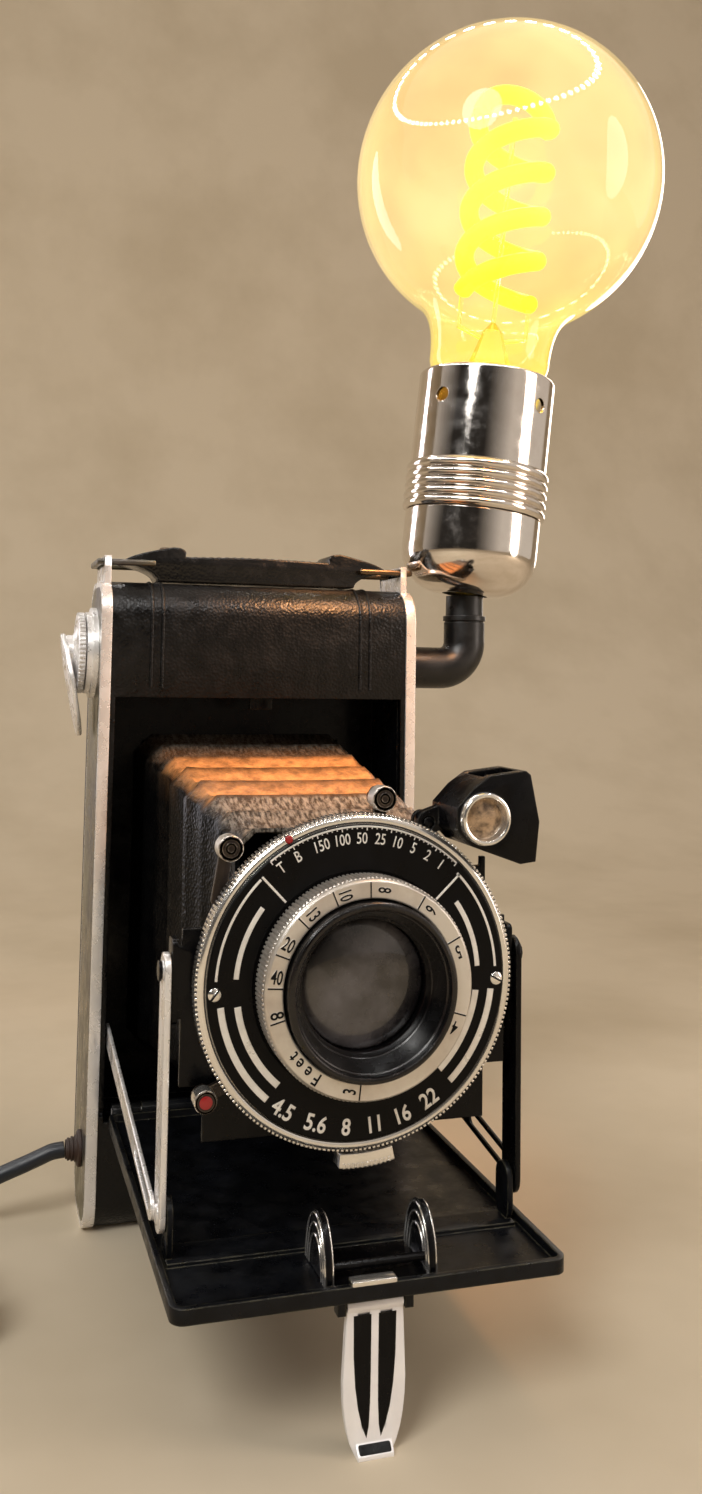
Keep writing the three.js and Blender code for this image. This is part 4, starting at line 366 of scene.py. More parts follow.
@dataclass(frozen=True)
class PhosphorStrand(Surface):
    """Phosphor-coated strand of the lamp's filament, alight: yellow, with a painted highlight on top and painted shade
    underneath.
    """

    label: str = "phosphor_coated_strand"
    colour: str = "#ffe000"
    painted_highlight: str = "#fffbb0"
    painted_underside_shade: str = "#ffa800"
    strength: float = 1.5
    patch_mm: float = 6.0

    def shade(self, tree: Tree, shader: bpy.types.Node, place: Socket) -> None:
        """Sets up the even glow with its painted highlight along the top and painted shade underneath.

        Args:
            tree: Node tree of the material.
            shader: Its shader.
            place: Object coordinates.
        """
        # Paler where the surface faces up, a painted highlight, and deeper where it faces down, painted shade
        normal = add_node(tree, "ShaderNodeNewGeometry")["Normal"]
        upward = add_node(tree, "ShaderNodeSeparateXYZ", {0: normal})["Z"]
        above, below = (
            add_node(tree, "ShaderNodeMapRange", {0: upward, **dict(enumerate(spans, 1))})[0]
            for spans in ((0.72, 0.95, 0, 1), (-0.95, -0.5, 0.6, 0))
        )
        inputs = {0: above, 1: patched(tree, place, self.patch_mm, 2, (0.4, 0.6, 0.2, 1))}
        share = add_node(tree, "ShaderNodeMath", inputs, {"operation": "MULTIPLY"})[0]
        colour = layered(tree, linear(self.colour), (share, linear(self.painted_highlight)), (below, linear(self.painted_underside_shade)))
        tree.links.new(colour, shader.inputs["Emission Color"])
        shader.inputs["Emission Strength"].default_value = self.strength
        shader.inputs["Base Color"].default_value = linear(self.colour)
        shader.inputs["Roughness"].default_value = 0.5


# Pressed leathercloth with a 0.75 mm grain, polished by handling: fine broken highlights on black
BODY_LEATHER = Finish(
    "leathercloth_pressed", "#050506", "#0b0a0a", 0.34, relief=Relief.PEBBLED, grain_mm=0.75,
    relief_mm=0.11, patch_mm=20, spread=0.08, worn="#262120", worn_share=0.35, specular=0.32,
)
# Thick saddle leather, folded and waxed: coarser grain, pale brown where its edges are rubbed
STRAP_LEATHER = Finish(
    "saddle_leather_waxed", "#060607", "#0e0c0c", 0.22, relief=Relief.PEBBLED, grain_mm=0.8,
    relief_mm=0.06, patch_mm=9, worn="#85786a", worn_share=0.4, edge_mm=0.4,
)
# Linen thread, waxed black and dusty: thin pale dashes
THREAD = Finish("linen_thread", "#4b443b", "#6a6154", 0.7, grain_mm=0.25, relief_mm=0.05, patch_mm=3)
# Bellows leather, glued to a cloth lining and cracked on its folds, with painted warm light and painted highlight on
# its upper panels
BELLOWS = PleatedLeather(
    "bellows_leather_folded", "#070708", "#121110", 0.38, relief=Relief.PEBBLED, grain_mm=0.7,
    relief_mm=0.16, patch_mm=7, worn="#2b2724", worn_share=0.4, edge_mm=0.4, specular=0.12,
)
# Nickel plate over brass, dulled by hands: almost white in soft light, with faint warm grey patches
NICKEL = Finish(
    "brass_nickel_plated", "#f3f1f1", "#cbc7c0", 0.28, 0.5, patch_share=0.35, grain_mm=0.8, relief_mm=0.002,
)
# Nickel gone dark in the recess of the side plates
DULL_NICKEL = Finish(
    "nickel_tarnished", "#77735f", "#4a4654", 0.34, 0.9, patch_mm=26, patch_share=0.7,
    relief=Relief.BRUSHED, grain_mm=0.5,
)
# Chromium plate, buffed: near-mirror with dark reflections
CHROME = Finish(
    "chromium_plate_buffed", "#f0eeeb", "#cdc8bf", 0.16, 0.9, patch_mm=12, patch_share=0.3,
    spread=0.05, grain_mm=0.7, relief_mm=0.0015, edge_mm=0.25,
)
# Sprung foot: steel strip, thinly chromed and dulled: an even cool white
FOOT_CHROME = Finish(
    "spring_steel_chromed", "#fbfafc", "#e9e7ee", 0.4, 0.15, patch_mm=12, patch_share=0.5, grain_mm=0.5,
    relief_mm=0.003,
)
# Lamp holder: thin spun steel, chrome plated: a clean warm mirror with soft smears
LAMP_CHROME = Finish(
    "steel_spun_chromed", "#ece6e0", "#cfc2b8", 0.1, 1.0, patch_mm=16,
    spread=0.06, grain_mm=0.6, relief_mm=0.002,
)
# Satin chrome of the distance ring: pale grey with no mirror in it
SATIN_CHROME = Finish(
    "chrome_satin_etched", "#e0dbd3", "#b5a79d", 0.34, 0.7, patch_mm=12, patch_share=0.6,
    spread=0.06, grain_mm=0.22, relief_mm=0.012,
)
# Stove enamel on steel: glossy black, rubbed to grey metal on its edges
BLACK_ENAMEL = Finish(
    "steel_stove_enamelled", "#060608", "#0f0e11", 0.24, patch_mm=8, grain_mm=1.4,
    relief_mm=0.012, worn="#565248", worn_share=0.5, coat=0.03, specular=0.16,
)
# Stove enamel of the bed, chipped along its rim to an olive-grey primer
BED_ENAMEL = Finish(
    "steel_enamelled_chipped", "#08090c", "#15171c", 0.34, patch_mm=6, patch_share=0.7, grain_mm=1.2,
    relief_mm=0.02, worn="#716c56", worn_share=0.7, edge_mm=0.4, specular=0.2,
)
# Black lacquer of the dial: smooth, so that the bare metal figures stand out
DIAL_BLACK = Finish("brass_lacquered_black", "#030304", "#060507", 0.34, patch_mm=12, grain_mm=0.5, specular=0.15)
# Bare metal left in the dial's lacquer
BARE_METAL = Finish("brass_bare_line", "#f4f2ee", "#d2cdc4", 0.36, 0.3, patch_mm=3, grain_mm=0.3)
# Black wax rubbed into the figures of the distance ring
ENGRAVING = Finish("wax_black", "#0b0a0b", "#1a1716", 0.6, patch_mm=2, grain_mm=0.3, specular=0.2)
# Blackened brass of the lens mount, which shows reddish on its rim
BLACK_BRASS = Finish(
    "brass_blackened", "#050506", "#0e0a0c", 0.24, patch_mm=9, grain_mm=0.5, worn="#4e2f28", worn_share=0.6,
    edge_mm=0.25,
)
# Brown-black lacquer of the lever arms
LEVER_LACQUER = Finish("steel_lacquered_brown", "#1f1815", "#3a2c24", 0.3, 0.4, patch_mm=5, worn="#8a7a66")
# Red enamel of the mark and of the self-timer's button
RED_ENAMEL = Finish("enamel_red", "#9c1218", "#7a0c12", 0.28, patch_mm=2, grain_mm=0.4, coat=0.4)
# Dark celluloid window in the back
RED_CELLULOID = Finish("celluloid_red", "#5c0e10", "#3d0809", 0.12, patch_mm=4, grain_mm=0.8, coat=0.5)
# Bronze bar of the right strap ring
BRONZE = Finish("bronze_wire", "#7a6650", "#4d4136", 0.3, 1.0, patch_mm=5, grain_mm=0.4)
# Matt black paint on the lamp's arm
ARM_PAINT = Finish(
    "steel_painted_matt", "#070709", "#111012", 0.36, patch_mm=6, grain_mm=0.5, relief_mm=0.03,
    worn="#4a443d", worn_share=0.4,
)
# Spun brass: the lamp's socket and nut
BRASS = Finish("brass_spun", "#b08d4e", "#7d6232", 0.28, 1.0, patch_mm=8, grain_mm=0.4)
# Glazed steatite of the holder's insulator
STEATITE = Finish("steatite_glazed", "#e4ded0", "#cfc7b6", 0.3, patch_mm=6, grain_mm=0.5, coat=0.4)
# Soft vinyl sheath of the mains lead: dark navy with a faint shine
VINYL = Finish("vinyl_extruded", "#1d222b", "#262b33", 0.42, patch_mm=12, grain_mm=0.4)
# Moulded plug: a shade blacker and more matt than the lead
MOULDED = Finish("vinyl_moulded", "#17191d", "#22252a", 0.5, patch_mm=9, grain_mm=0.5, relief_mm=0.03)
# Hook-and-loop tie round the stored coil
TIE_FABRIC = Finish("nylon_hook_tape", "#151518", "#25252a", 0.8, grain_mm=0.8, relief_mm=0.2, sheen=0.4)
# Brown rubber of the strain relief
RUBBER = Finish("rubber_brown", "#3b261b", "#241712", 0.6, patch_mm=4, grain_mm=0.4, relief_mm=0.03)
# Coated lens, dark, with soft grey patches that are painted reflection
LENS_GLASS = Finish(
    "glass_coated_dark", "#19171a", "#5c595d", 0.3, patch_mm=15, patch_share=1.0, grain_mm=4,
    relief_mm=0.002, coat=1.0, coat_roughness=0.03,
)
# Silvered finder lens whose amber-brown colour is a painted reflection of the room
FINDER_LENS = Finish(
    "glass_silvered_painted_reflection", "#b89c7e", "#3a2c24", 0.3, 0.5, patch_mm=2.0, patch_share=0.9,
    grain_mm=0.8, relief_mm=0.03, spread=0.05, coat=0.4, coat_roughness=0.08,
)
# Ground top glass of the finder, with a pink tint
FINDER_TOP = Glass("glass_pink_tinted", "#e2c6c4", 0.04)
# Drawn glass of the bulb's stem, lit orange from its seal
STEM_GLASS = Glass("glass_drawn_clear", "#fff2dc", 0.03, glow="#ff9d2a", neck_glow="#ff9d2a", glow_strength=0.25)
# Thin blown glass with an amber tint; the lit strand fills it with a cream glow, yellower in the neck
BULB_GLASS = Glass(
    "glass_blown_amber", "#fff6e2", 0.0, 1.4, glow="#ffe19c", neck_glow="#ffe552", glow_strength=0.235,
)
STRAND = PhosphorStrand()
# Small diodes of the ring light, which show only in glass and metal
DIODE = PhosphorStrand("diode_white", "#ffffff", "#ffffff", "#ffffff", 40.0)
# Seamless studio paper in a warm grey-beige
PAPER = Finish(
    "paper_seamless", "#dccfb9", "#c8baa2", 0.95, patch_mm=170, patch_share=0.7, grain_mm=3,
    relief_mm=0.02, spread=0.03, edge_mm=0.1, specular=0.0,
)


# Meshes, in millimetres until they are made


def smooth(mesh: Mesh, sharp: float) -> None:
    """Shades a mesh smooth, with sharp edges past an angle.

    Args:
        mesh: Mesh to shade.
        sharp: Angle in degrees.
    """
    mesh.shade_smooth()
    mesh.set_sharp_from_angle(angle=math.radians(sharp))


def linked(name: str, data: bpy.types.ID) -> Object:
    """Makes an object in the scene.

    Args:
        name: Its name.
        data: Its mesh, curve, light or camera.

    Returns:
        The object.
    """
    made = bpy.data.objects.new(name, data)
    bpy.context.scene.collection.objects.link(made)
    return made


def baked(obj: Object) -> Mesh:
    """Returns the plain mesh that an object's modifiers or curve give."""
    bpy.context.view_layer.update()
    return bpy.data.meshes.new_from_object(obj.evaluated_get(bpy.context.evaluated_depsgraph_get()))


def finished(obj: Object, finish: Surface) -> Object:
    """Gives a piece one finish.

    Args:
        obj: Piece.
        finish: Its finish.

    Returns:
        The same piece.
    """
    obj.data.materials.clear()
    obj.data.materials.append(finish.material())
    return obj


def shaped(name: str, points: Sequence, faces: Sequence, place: Matrix | None = None, sharp: float = 35) -> Object:
    """Makes a piece from points and faces, with its faces turned outwards.

    Args:
        name: Piece name.
        points: Points in millimetres.
        faces: Corners of each face.
        place: Where the points go.
        sharp: Angle past which an edge stays sharp.

    Returns:
        The piece.
    """
    at = place or Matrix()
    mesh = bpy.data.meshes.new(name)
    mesh.from_pydata([tuple((at @ Vector(p)) * MM) for p in points], [], faces)
    build = bmesh.new()
    build.from_mesh(mesh)
    bmesh.ops.remove_doubles(build, verts=build.verts, dist=1e-7)
    bmesh.ops.recalc_face_normals(build, faces=build.faces)
    build.to_mesh(mesh)
    build.free()
    smooth(mesh, sharp)
    return linked(name, mesh)


def turned(
    name: str, profile: Sequence[Flat], place: Matrix, sides: int = 128, ring: bool = False, sharp: float = 35
) -> Object:
    """Turns a profile about local z.

    Args:
        name: Piece name.
        profile: Radius and height of each point.
        place: Where the axis lies.
        sides: Facets round the axis.
        ring: True if the profile closes on itself.
        sharp: Angle past which an edge stays sharp.

    Returns:
        The piece.
    """
    points, rows = [], []
    for radius, height in profile:
        if radius < 1e-6:
            rows.append([len(points)] * sides)
            points.append((0, 0, height))
            continue
        rows.append([len(points) + k for k in range(sides)])
        for k in range(sides):
            angle = 2 * math.pi * k / sides
            points.append((radius * math.cos(angle), radius * math.sin(angle), height))
    pairs = list(zip(rows, rows[1:])) + ([(rows[-1], rows[0])] if ring else [])
    faces = []
    for low, high in pairs:
        for k in range(sides):
            n = (k + 1) % sides
            face = list(dict.fromkeys([low[k], low[n], high[n], high[k]]))
            if len(face) > 2:
                faces.append(face)
    return shaped(name, points, faces, place, sharp)


def swept(name: str, path: Sequence[Point], radius: float | Sequence[float], sides: int) -> Object:
    """Sweeps a round section along a path and closes its ends.

    Args:
        name: Piece name.
        path: Centreline in millimetres.
        radius: One radius, or one for each point.
        sides: Facets of the section.

    Returns:
        The piece.
    """
    centres = [Vector(p) for p in path]
    sizes = [radius] * len(centres) if isinstance(radius, (int, float)) else list(radius)
    points, faces = [], []
    across = None
    for i, here in enumerate(centres):
        along = (centres[min(i + 1, len(centres) - 1)] - centres[max(i - 1, 0)]).normalized()
        across = along.orthogonal() if across is None else across - along * across.dot(along)
        across.normalize()
        other = along.cross(across)
        for k in range(sides):
            angle = 2 * math.pi * k / sides
            points.append(tuple(here + (across * math.cos(angle) + other * math.sin(angle)) * sizes[i]))
    for i in range(len(centres) - 1):
        for k in range(sides):
            n = (k + 1) % sides
            faces.append([i * sides + k, i * sides + n, (i + 1) * sides + n, (i + 1) * sides + k])
    faces += [list(range(sides)), list(range(len(points) - sides, len(points)))]
    return shaped(name, points, faces)


def slab(name: str, outline: Sequence[Flat], low: float, high: float, place: Matrix) -> Object:
    """Gives an outline a thickness along local z.

    Args:
        name: Piece name.
        outline: Corners in order.
        low: Lower height.
        high: Upper height.
        place: Where it goes.

    Returns:
        The piece.
    """
    n = len(outline)
    points = [(x, y, low) for x, y in outline] + [(x, y, high) for x, y in outline]
    faces = [list(range(n)), list(range(n, 2 * n))]
    faces += [[i, (i + 1) % n, n + (i + 1) % n, n + i] for i in range(n)]
    return shaped(name, points, faces, place, 30)


def angles(parts: int, sweep: float = math.pi / 2) -> list[float]:
    """Returns even angles from 0 to the sweep, both included."""
    return [sweep * i / parts for i in range(parts + 1)]


def oblong(left: float, low: float, right: float, high: float) -> list[Flat]:
    """Returns the four corners of a rectangle."""
    return [(left, low), (right, low), (right, high), (left, high)]


def moved(x: float, y: float, z: float) -> Matrix:
    """Returns a move in millimetres."""
    return Matrix.Translation((x, y, z))


def spun(degrees: float, axis: str) -> Matrix:
    """Returns a turn about one of the axes."""
    return Matrix.Rotation(math.radians(degrees), 4, axis)


def upright(y: float) -> Matrix:
    """Returns a place whose local x is right, y is up and z is forward, at a depth of the frame."""
    return moved(0, y, 0) @ spun(90, "X")


def filleted(outline: Sequence[Flat], radius: float, steps: int = 6) -> list[Flat]:
    """Rounds an outline's corners.

    Args:
        outline: Corners in order.
        radius: Distance from the corner at which its rounding starts.
        steps: Pieces of each rounding.

    Returns:
        The rounded outline.
    """
    made = []
    n = len(outline)
    for i in range(n):
        corner, before, after = (Vector(outline[k % n]) for k in (i, i - 1, i + 1))
        reach = min(radius, (before - corner).length / 2.01, (after - corner).length / 2.01)
        start = corner + (before - corner).normalized() * reach
        end = corner + (after - corner).normalized() * reach
        for k in range(steps + 1):
            t = k / steps
            made.append(tuple(start * (1 - t) ** 2 + corner * 2 * t * (1 - t) + end * t * t))
    return made


def sector(inner: float, outer: float, start: float, end: float, step: float = 2.0) -> list[Flat]:
    """Gives the outline of a band along an arc.

    Args:
        inner: Inner radius.
        outer: Outer radius.
        start: First angle in degrees.
        end: Last angle in degrees.
        step: Degrees between points.

    Returns:
        The outline.
    """
    count = max(2, int(abs(end - start) / step) + 1)
    angles = [math.radians(start + (end - start) * i / (count - 1)) for i in range(count)]
    near = [(inner * math.cos(a), inner * math.sin(a)) for a in angles]
    far = [(outer * math.cos(a), outer * math.sin(a)) for a in reversed(angles)]
    return near + far


def on_dial(radius: float, angle: float, depth: float, turn: float = 0.0) -> Matrix:
    """Gives a place on the front of the shutter.

    Args:
        radius: Distance from the lens axis.
        angle: Direction from the lens axis in degrees.
        depth: Depth forward of the legs' pivots.
        turn: Turn about the local depth axis in degrees, from outward along local x.

    Returns:
        The placement.
    """
    out = spun(angle, "Z") @ moved(radius, 0, depth)
    return LENS @ out @ spun(turn, "Z")


def figure(text: str, height: float, place: Matrix, depth: float, narrow: float, bold: float) -> Object:
    """Makes raised generic figures, such as a number on a dial.

    Args:
        text: What is written.
        height: Height of a numeral.
        place: Middle of the text, with its top along local y.
        depth: How far it stands proud.
        narrow: Width as a share of the font's own.
        bold: How far its lines swell, as a share of its height.

    Returns:
        The figures as a mesh piece.
    """
    curve = bpy.data.curves.new("figure", "FONT")
    curve.body, curve.size, curve.extrude, curve.resolution_u = text, height / 0.72, depth / 2, 3
    curve.align_x, curve.align_y, curve.offset = "CENTER", "CENTER", bold * height
    holder = linked("figure_curve", curve)
    mesh = baked(holder)
    bpy.data.objects.remove(holder)
    mesh.transform(Matrix.Scale(MM, 4) @ place @ Matrix.Diagonal((narrow, 1, 1, 1)))
    return linked("figure", mesh)


def joined(name: str, pieces: Sequence[Object]) -> Object:
    """Joins pieces to one and keeps the material of each face.

    Args:
        name: Name of the result.
        pieces: Pieces at the origin, which are removed.

    Returns:
        The joined piece.
    """
    build, mesh = bmesh.new(), bpy.data.meshes.new(name)
    slots: list = []
    for piece in pieces:
        known = len(build.faces)
        build.from_mesh(piece.data)
        build.faces.ensure_lookup_table()
        own = list(piece.data.materials)
        for face in build.faces[known:]:
            if own:
                material = own[min(face.material_index, len(own) - 1)]
                if material not in slots:
                    slots.append(material)
                face.material_index = slots.index(material)
    build.to_mesh(mesh)
    build.free()
    for material in slots:
        mesh.materials.append(material)
    for piece in pieces:
        bpy.data.objects.remove(piece)
    return linked(name, mesh)


def settled(obj: Object, sharp: float = 35) -> Object:
    """Turns a piece's modifiers into its own mesh.

    Args:
        obj: Piece with live modifiers.
        sharp: Angle past which an edge stays sharp.

    Returns:
        The same piece.
    """
    mesh = baked(obj)
    obj.modifiers.clear()
    obj.data = mesh
    smooth(mesh, sharp)
    return obj


def eased(obj: Object, width: float, segments: int = 3, angle: float = 28) -> Object:
    """Rounds a piece's edges.

    Args:
        obj: Piece.
        width: Width of the rounding in millimetres.
        segments: Steps across it.
        angle: Angle past which an edge is rounded.

    Returns:
        The same piece.
    """
    bevel = obj.modifiers.new("eased", "BEVEL")
    bevel.width, bevel.segments, bevel.limit_method = width * MM, segments, "ANGLE"
    bevel.angle_limit, bevel.use_clamp_overlap, bevel.miter_outer = math.radians(angle), True, "MITER_ARC"
    return settled(obj, 40)


def retraced(node: str, name: str, width: float, segments: int = 3) -> Object:
    """Copies a CAD node, merges its loose triangles and rounds its edges.

    Args:
        node: Name of the CAD node.
        name: Name of the new piece.
        width: Width of the rounding in millimetres.
        segments: Steps across it.

    Returns:
        The new piece.
    """
    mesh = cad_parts[node].data.copy()
    mesh.materials.clear()
    build = bmesh.new()
    build.from_mesh(mesh)
    bmesh.ops.remove_doubles(build, verts=build.verts, dist=2e-6)
    bmesh.ops.dissolve_limit(build, angle_limit=math.radians(0.5), verts=build.verts, edges=build.edges)
    build.to_mesh(mesh)
    build.free()
    return eased(linked(name, mesh), width, segments)


def dressed(
    obj: Object, body: str, finish: Surface | None, replaces: Sequence[str] = ()
) -> Object:
    """Gives a piece its finish, its body and the nodes that it stands for.

    Args:
        obj: Piece.
        body: CAD body that it moves with.
        finish: Finish for the whole piece, or None to keep its own.
        replaces: CAD nodes that it stands for.

    Returns:
        The same piece.
    """
    if finish is not None:
        finished(obj, finish)
    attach(obj, body)
    if replaces:
        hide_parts(*replaces)
    LOG.info("%s rides on %s", obj.name, body)
    return obj


# Geometry Nodes for what repeats, and for the strand whose shape follows a rule


class Grower:
    """Base of the node trees: it makes the tree, its inputs and the plain mesh that the tree gives."""

    label = ""
    inputs: dict[str, str] = {}

    def tree(self) -> Tree:
        """Returns the tree, made once."""
        found = bpy.data.node_groups.get(self.label)
        if found:
            return found
        tree = bpy.data.node_groups.new(self.label, "GeometryNodeTree")
        tree.interface.new_socket("Geometry", in_out="INPUT", socket_type="NodeSocketGeometry")
        for name, kind in (self.inputs | {"Finish": "Material"}).items():
            tree.interface.new_socket(name, in_out="INPUT", socket_type=f"NodeSocket{kind}")
        tree.interface.new_socket("Geometry", in_out="OUTPUT", socket_type="NodeSocketGeometry")
        given = add_node(tree, "NodeGroupInput")
        real = add_node(tree, "GeometryNodeRealizeInstances", {0: self.body(tree, given)})[0]
        inputs = {"Geometry": real, "Material": given["Finish"]}
        coated = add_node(tree, "GeometryNodeSetMaterial", inputs)[0]
        add_node(tree, "NodeGroupOutput", {0: coated})
        return tree

    def body(self, tree: Tree, given: Sequence[Socket]) -> Socket:
        """Builds the tree's own nodes.

        Args:
            tree: The tree.
            given: Its inputs' sockets.

        Returns:
            The geometry.
        """
        raise NotImplementedError

    def grown(self, name: str, finish: Surface, place: Matrix, base: Mesh | None = None, **values: object) -> Object:
        """Runs the tree and keeps its result as a plain mesh.

        Args:
            name: Piece name.
            finish: Its finish.
            place: Where the result goes.
            base: Points that the tree works on, in millimetres.
            **values: Inputs by name, with _ for a space.

        Returns:
            The piece.
        """
        tree = self.tree()
        holder = linked(name, base or bpy.data.meshes.new(name))
        modifier = holder.modifiers.new("grown", "NODES")
        modifier.node_group = tree
        values = {key.replace("_", " "): value for key, value in values.items()} | {"Finish": finish.material()}
        for item in tree.interface.items_tree:
            if item.item_type == "SOCKET" and item.in_out == "INPUT" and item.name in values:
                modifier[item.identifier] = values[item.name]
        mesh = baked(holder)
        holder.modifiers.remove(modifier)
        mesh.transform(Matrix.Scale(MM, 4) @ place)
        holder.data = mesh
        smooth(mesh, 35)
        return holder


class TeethGrower(Grower):
    """Bars set evenly round an axis, such as knurling or the teeth of a grip ring."""

    label = "bars_round_an_axis"
    inputs = {"Count": "Int", "Radius": "Float", "Size": "Vector", "Turn": "Vector"}

    def body(self, tree: Tree, given: Sequence[Socket]) -> Socket:
        """Sets a bar on each point of a circle, turned to face outwards.

        Args:
            tree: The tree.
            given: Its inputs' sockets.

        Returns:
            The bars.
        """
        inputs = {"Vertices": given["Count"], "Radius": given["Radius"]}
        circle = add_node(tree, "GeometryNodeMeshCircle", inputs)[0]
        bar = add_node(tree, "GeometryNodeMeshCube", {"Size": given["Size"]})["Mesh"]
        inputs = {"Geometry": bar, "Rotation": given["Turn"]}
        turned_bar = add_node(tree, "GeometryNodeTransform", inputs)[0]
        settings = {"axis": "X", "pivot_axis": "Z"}
        inputs = {"Vector": add_node(tree, "GeometryNodeInputPosition")[0]}
        facing = add_node(tree, "FunctionNodeAlignRotationToVector", inputs, settings)[0]
        inputs = {"Points": circle, "Instance": turned_bar, "Rotation": facing}
        return add_node(tree, "GeometryNodeInstanceOnPoints", inputs)[0]


class RivetGrower(Grower):
    """Domed rivet heads on given points."""

    label = "rivets_on_points"
    inputs = {"Radius": "Float", "Flatness": "Float", "Turn": "Vector"}

    def body(self, tree: Tree, given: Sequence[Socket]) -> Socket:
        """Sets a flattened ball on each point.

        Args:
            tree: The tree.
            given: Its inputs' sockets.

        Returns:
            The rivets.
        """
        inputs = {"Segments": 20, "Rings": 10, "Radius": given["Radius"]}
        ball = add_node(tree, "GeometryNodeMeshUVSphere", inputs)["Mesh"]
        flat = add_node(tree, "ShaderNodeCombineXYZ", {0: 1.0, 1: 1.0, 2: given["Flatness"]})[0]
        inputs = {"Geometry": ball, "Scale": flat, "Rotation": given["Turn"]}
        head = add_node(tree, "GeometryNodeTransform", inputs)[0]
        points = add_node(tree, "GeometryNodeMeshToPoints", {"Mesh": given["Geometry"]})[0]
        return add_node(tree, "GeometryNodeInstanceOnPoints", {"Points": points, "Instance": head})[0]


class StitchGrower(Grower):
    """Stitches laid end to end along the edges of a mesh line."""

    label = "stitches_along_a_line"
    inputs = {"Pitch": "Float", "Size": "Vector"}

    def body(self, tree: Tree, given: Sequence[Socket]) -> Socket:
        """Sets a small ball, drawn out along the line, at every pitch.

        Args:
            tree: The tree.
            given: Its inputs' sockets.

        Returns:
            The stitches.
        """
        seam = add_node(tree, "GeometryNodeMeshToCurve", {"Mesh": given["Geometry"]})[0]
        inputs = {"Curve": seam, "Length": given["Pitch"]}
        even = add_node(tree, "GeometryNodeResampleCurve", inputs, {"mode": "LENGTH"})[0]
        inputs = {"Segments": 8, "Rings": 5, "Radius": 1.0}
        ball = add_node(tree, "GeometryNodeMeshUVSphere", inputs)["Mesh"]
        thread = add_node(tree, "GeometryNodeTransform", {"Geometry": ball, "Scale": given["Size"]})[0]
        along = add_node(tree, "GeometryNodeInputTangent")[0]
        facing = add_node(tree, "FunctionNodeAlignRotationToVector", {"Vector": along}, {"axis": "X"})[0]
        inputs = {"Points": even, "Instance": thread, "Rotation": facing}
        return add_node(tree, "GeometryNodeInstanceOnPoints", inputs)[0]


class StrandGrower(Grower):
    """The lamp's strand: it winds up, arches over and winds back down."""

    label = "double_spiral_strand"
    inputs = {"Radius": "Float", "Turns": "Float", "Height": "Float", "Arch Share": "Float", "Thickness": "Float"}

    def body(self, tree: Tree, given: Sequence[Socket]) -> Socket:
        """Joins two spirals and an arch, and gives them a round section.

        Args:
            tree: The tree.
            given: Its inputs' sockets.

        Returns:
            The strand.
        """
        inputs = {"Resolution": 48, "Rotations": given["Turns"], "Start Radius": given["Radius"], "Reverse": True}
        inputs |= {"End Radius": given["Radius"], "Height": given["Height"]}
        rising = add_node(tree, "GeometryNodeCurveSpiral", inputs)[0]
        inputs = {"Geometry": rising, "Rotation": (0, 0, math.pi)}
        falling = add_node(tree, "GeometryNodeTransform", inputs)[0]
        inputs = {"Resolution": 24, "Radius": given["Radius"], "Start Angle": 0.0, "Sweep Angle": math.pi}
        arc = add_node(tree, "GeometryNodeCurveArc", inputs)[0]
        squat = add_node(tree, "ShaderNodeCombineXYZ", {0: 1.0, 1: given["Arch Share"], 2: 1.0})[0]
        flat = add_node(tree, "GeometryNodeTransform", {"Geometry": arc, "Scale": squat})[0]
        top = add_node(tree, "ShaderNodeCombineXYZ", {2: given["Height"]})[0]
        inputs = {"Geometry": flat, "Rotation": (math.pi / 2, 0, 0), "Translation": top}
        arch = add_node(tree, "GeometryNodeTransform", inputs)[0]
        whole = tree.nodes.new("GeometryNodeJoinGeometry")
        for curve in (rising, falling, arch):
            tree.links.new(curve, whole.inputs[0])
        inputs = {"Resolution": 14, "Radius": given["Thickness"]}
        section = add_node(tree, "GeometryNodeCurvePrimitiveCircle", inputs)[0]
        inputs = {"Curve": whole.outputs[0], "Profile Curve": section, "Fill Caps": True}
        return add_node(tree, "GeometryNodeCurveToMesh", inputs)[0]


TEETH, RIVETS, STITCHES, WINDING = TeethGrower(), RivetGrower(), StitchGrower(), StrandGrower()


def dots(name: str, points: Sequence[Point], chained: bool = False) -> Mesh:
    """Makes a mesh of points.

    Args:
        name: Its name.
        points: Points in millimetres.
        chained: True if edges join them in order.

    Returns:
        The mesh.
    """
    mesh = bpy.data.meshes.new(name)
    mesh.from_pydata([tuple(p) for p in points], [(i, i + 1) for i in range(len(points) - 1)] if chained else [], [])
    return mesh


# The studio and the mains lead come first


@dataclass(frozen=True)
class SoftLamp:
    """One soft area lamp: where it hangs and points in metres, its size, watts, colour and spread in degrees."""

    name: str
    place: Point
    target: Point
    size: Flat
    power: float
    colour: str
    spread: float = 180.0
    on_matt: bool = True

    def hang(self) -> None:
        """Hangs the lamp, hidden from the camera and from what is seen through glass."""
        data = bpy.data.lights.new(self.name, "AREA")
        data.shape, data.size, data.size_y = "ELLIPSE", self.size[0], self.size[1]
        data.energy, data.color, data.spread = self.power, linear(self.colour)[:3], math.radians(self.spread)
        made = linked(self.name, data)
        aim = (Vector(self.target) - Vector(self.place)).to_track_quat("-Z", "Y").to_matrix().to_4x4()
        made.matrix_world = Matrix.Translation(self.place) @ aim
        made.visible_camera = made.visible_transmission = False
        made.visible_diffuse = self.on_matt


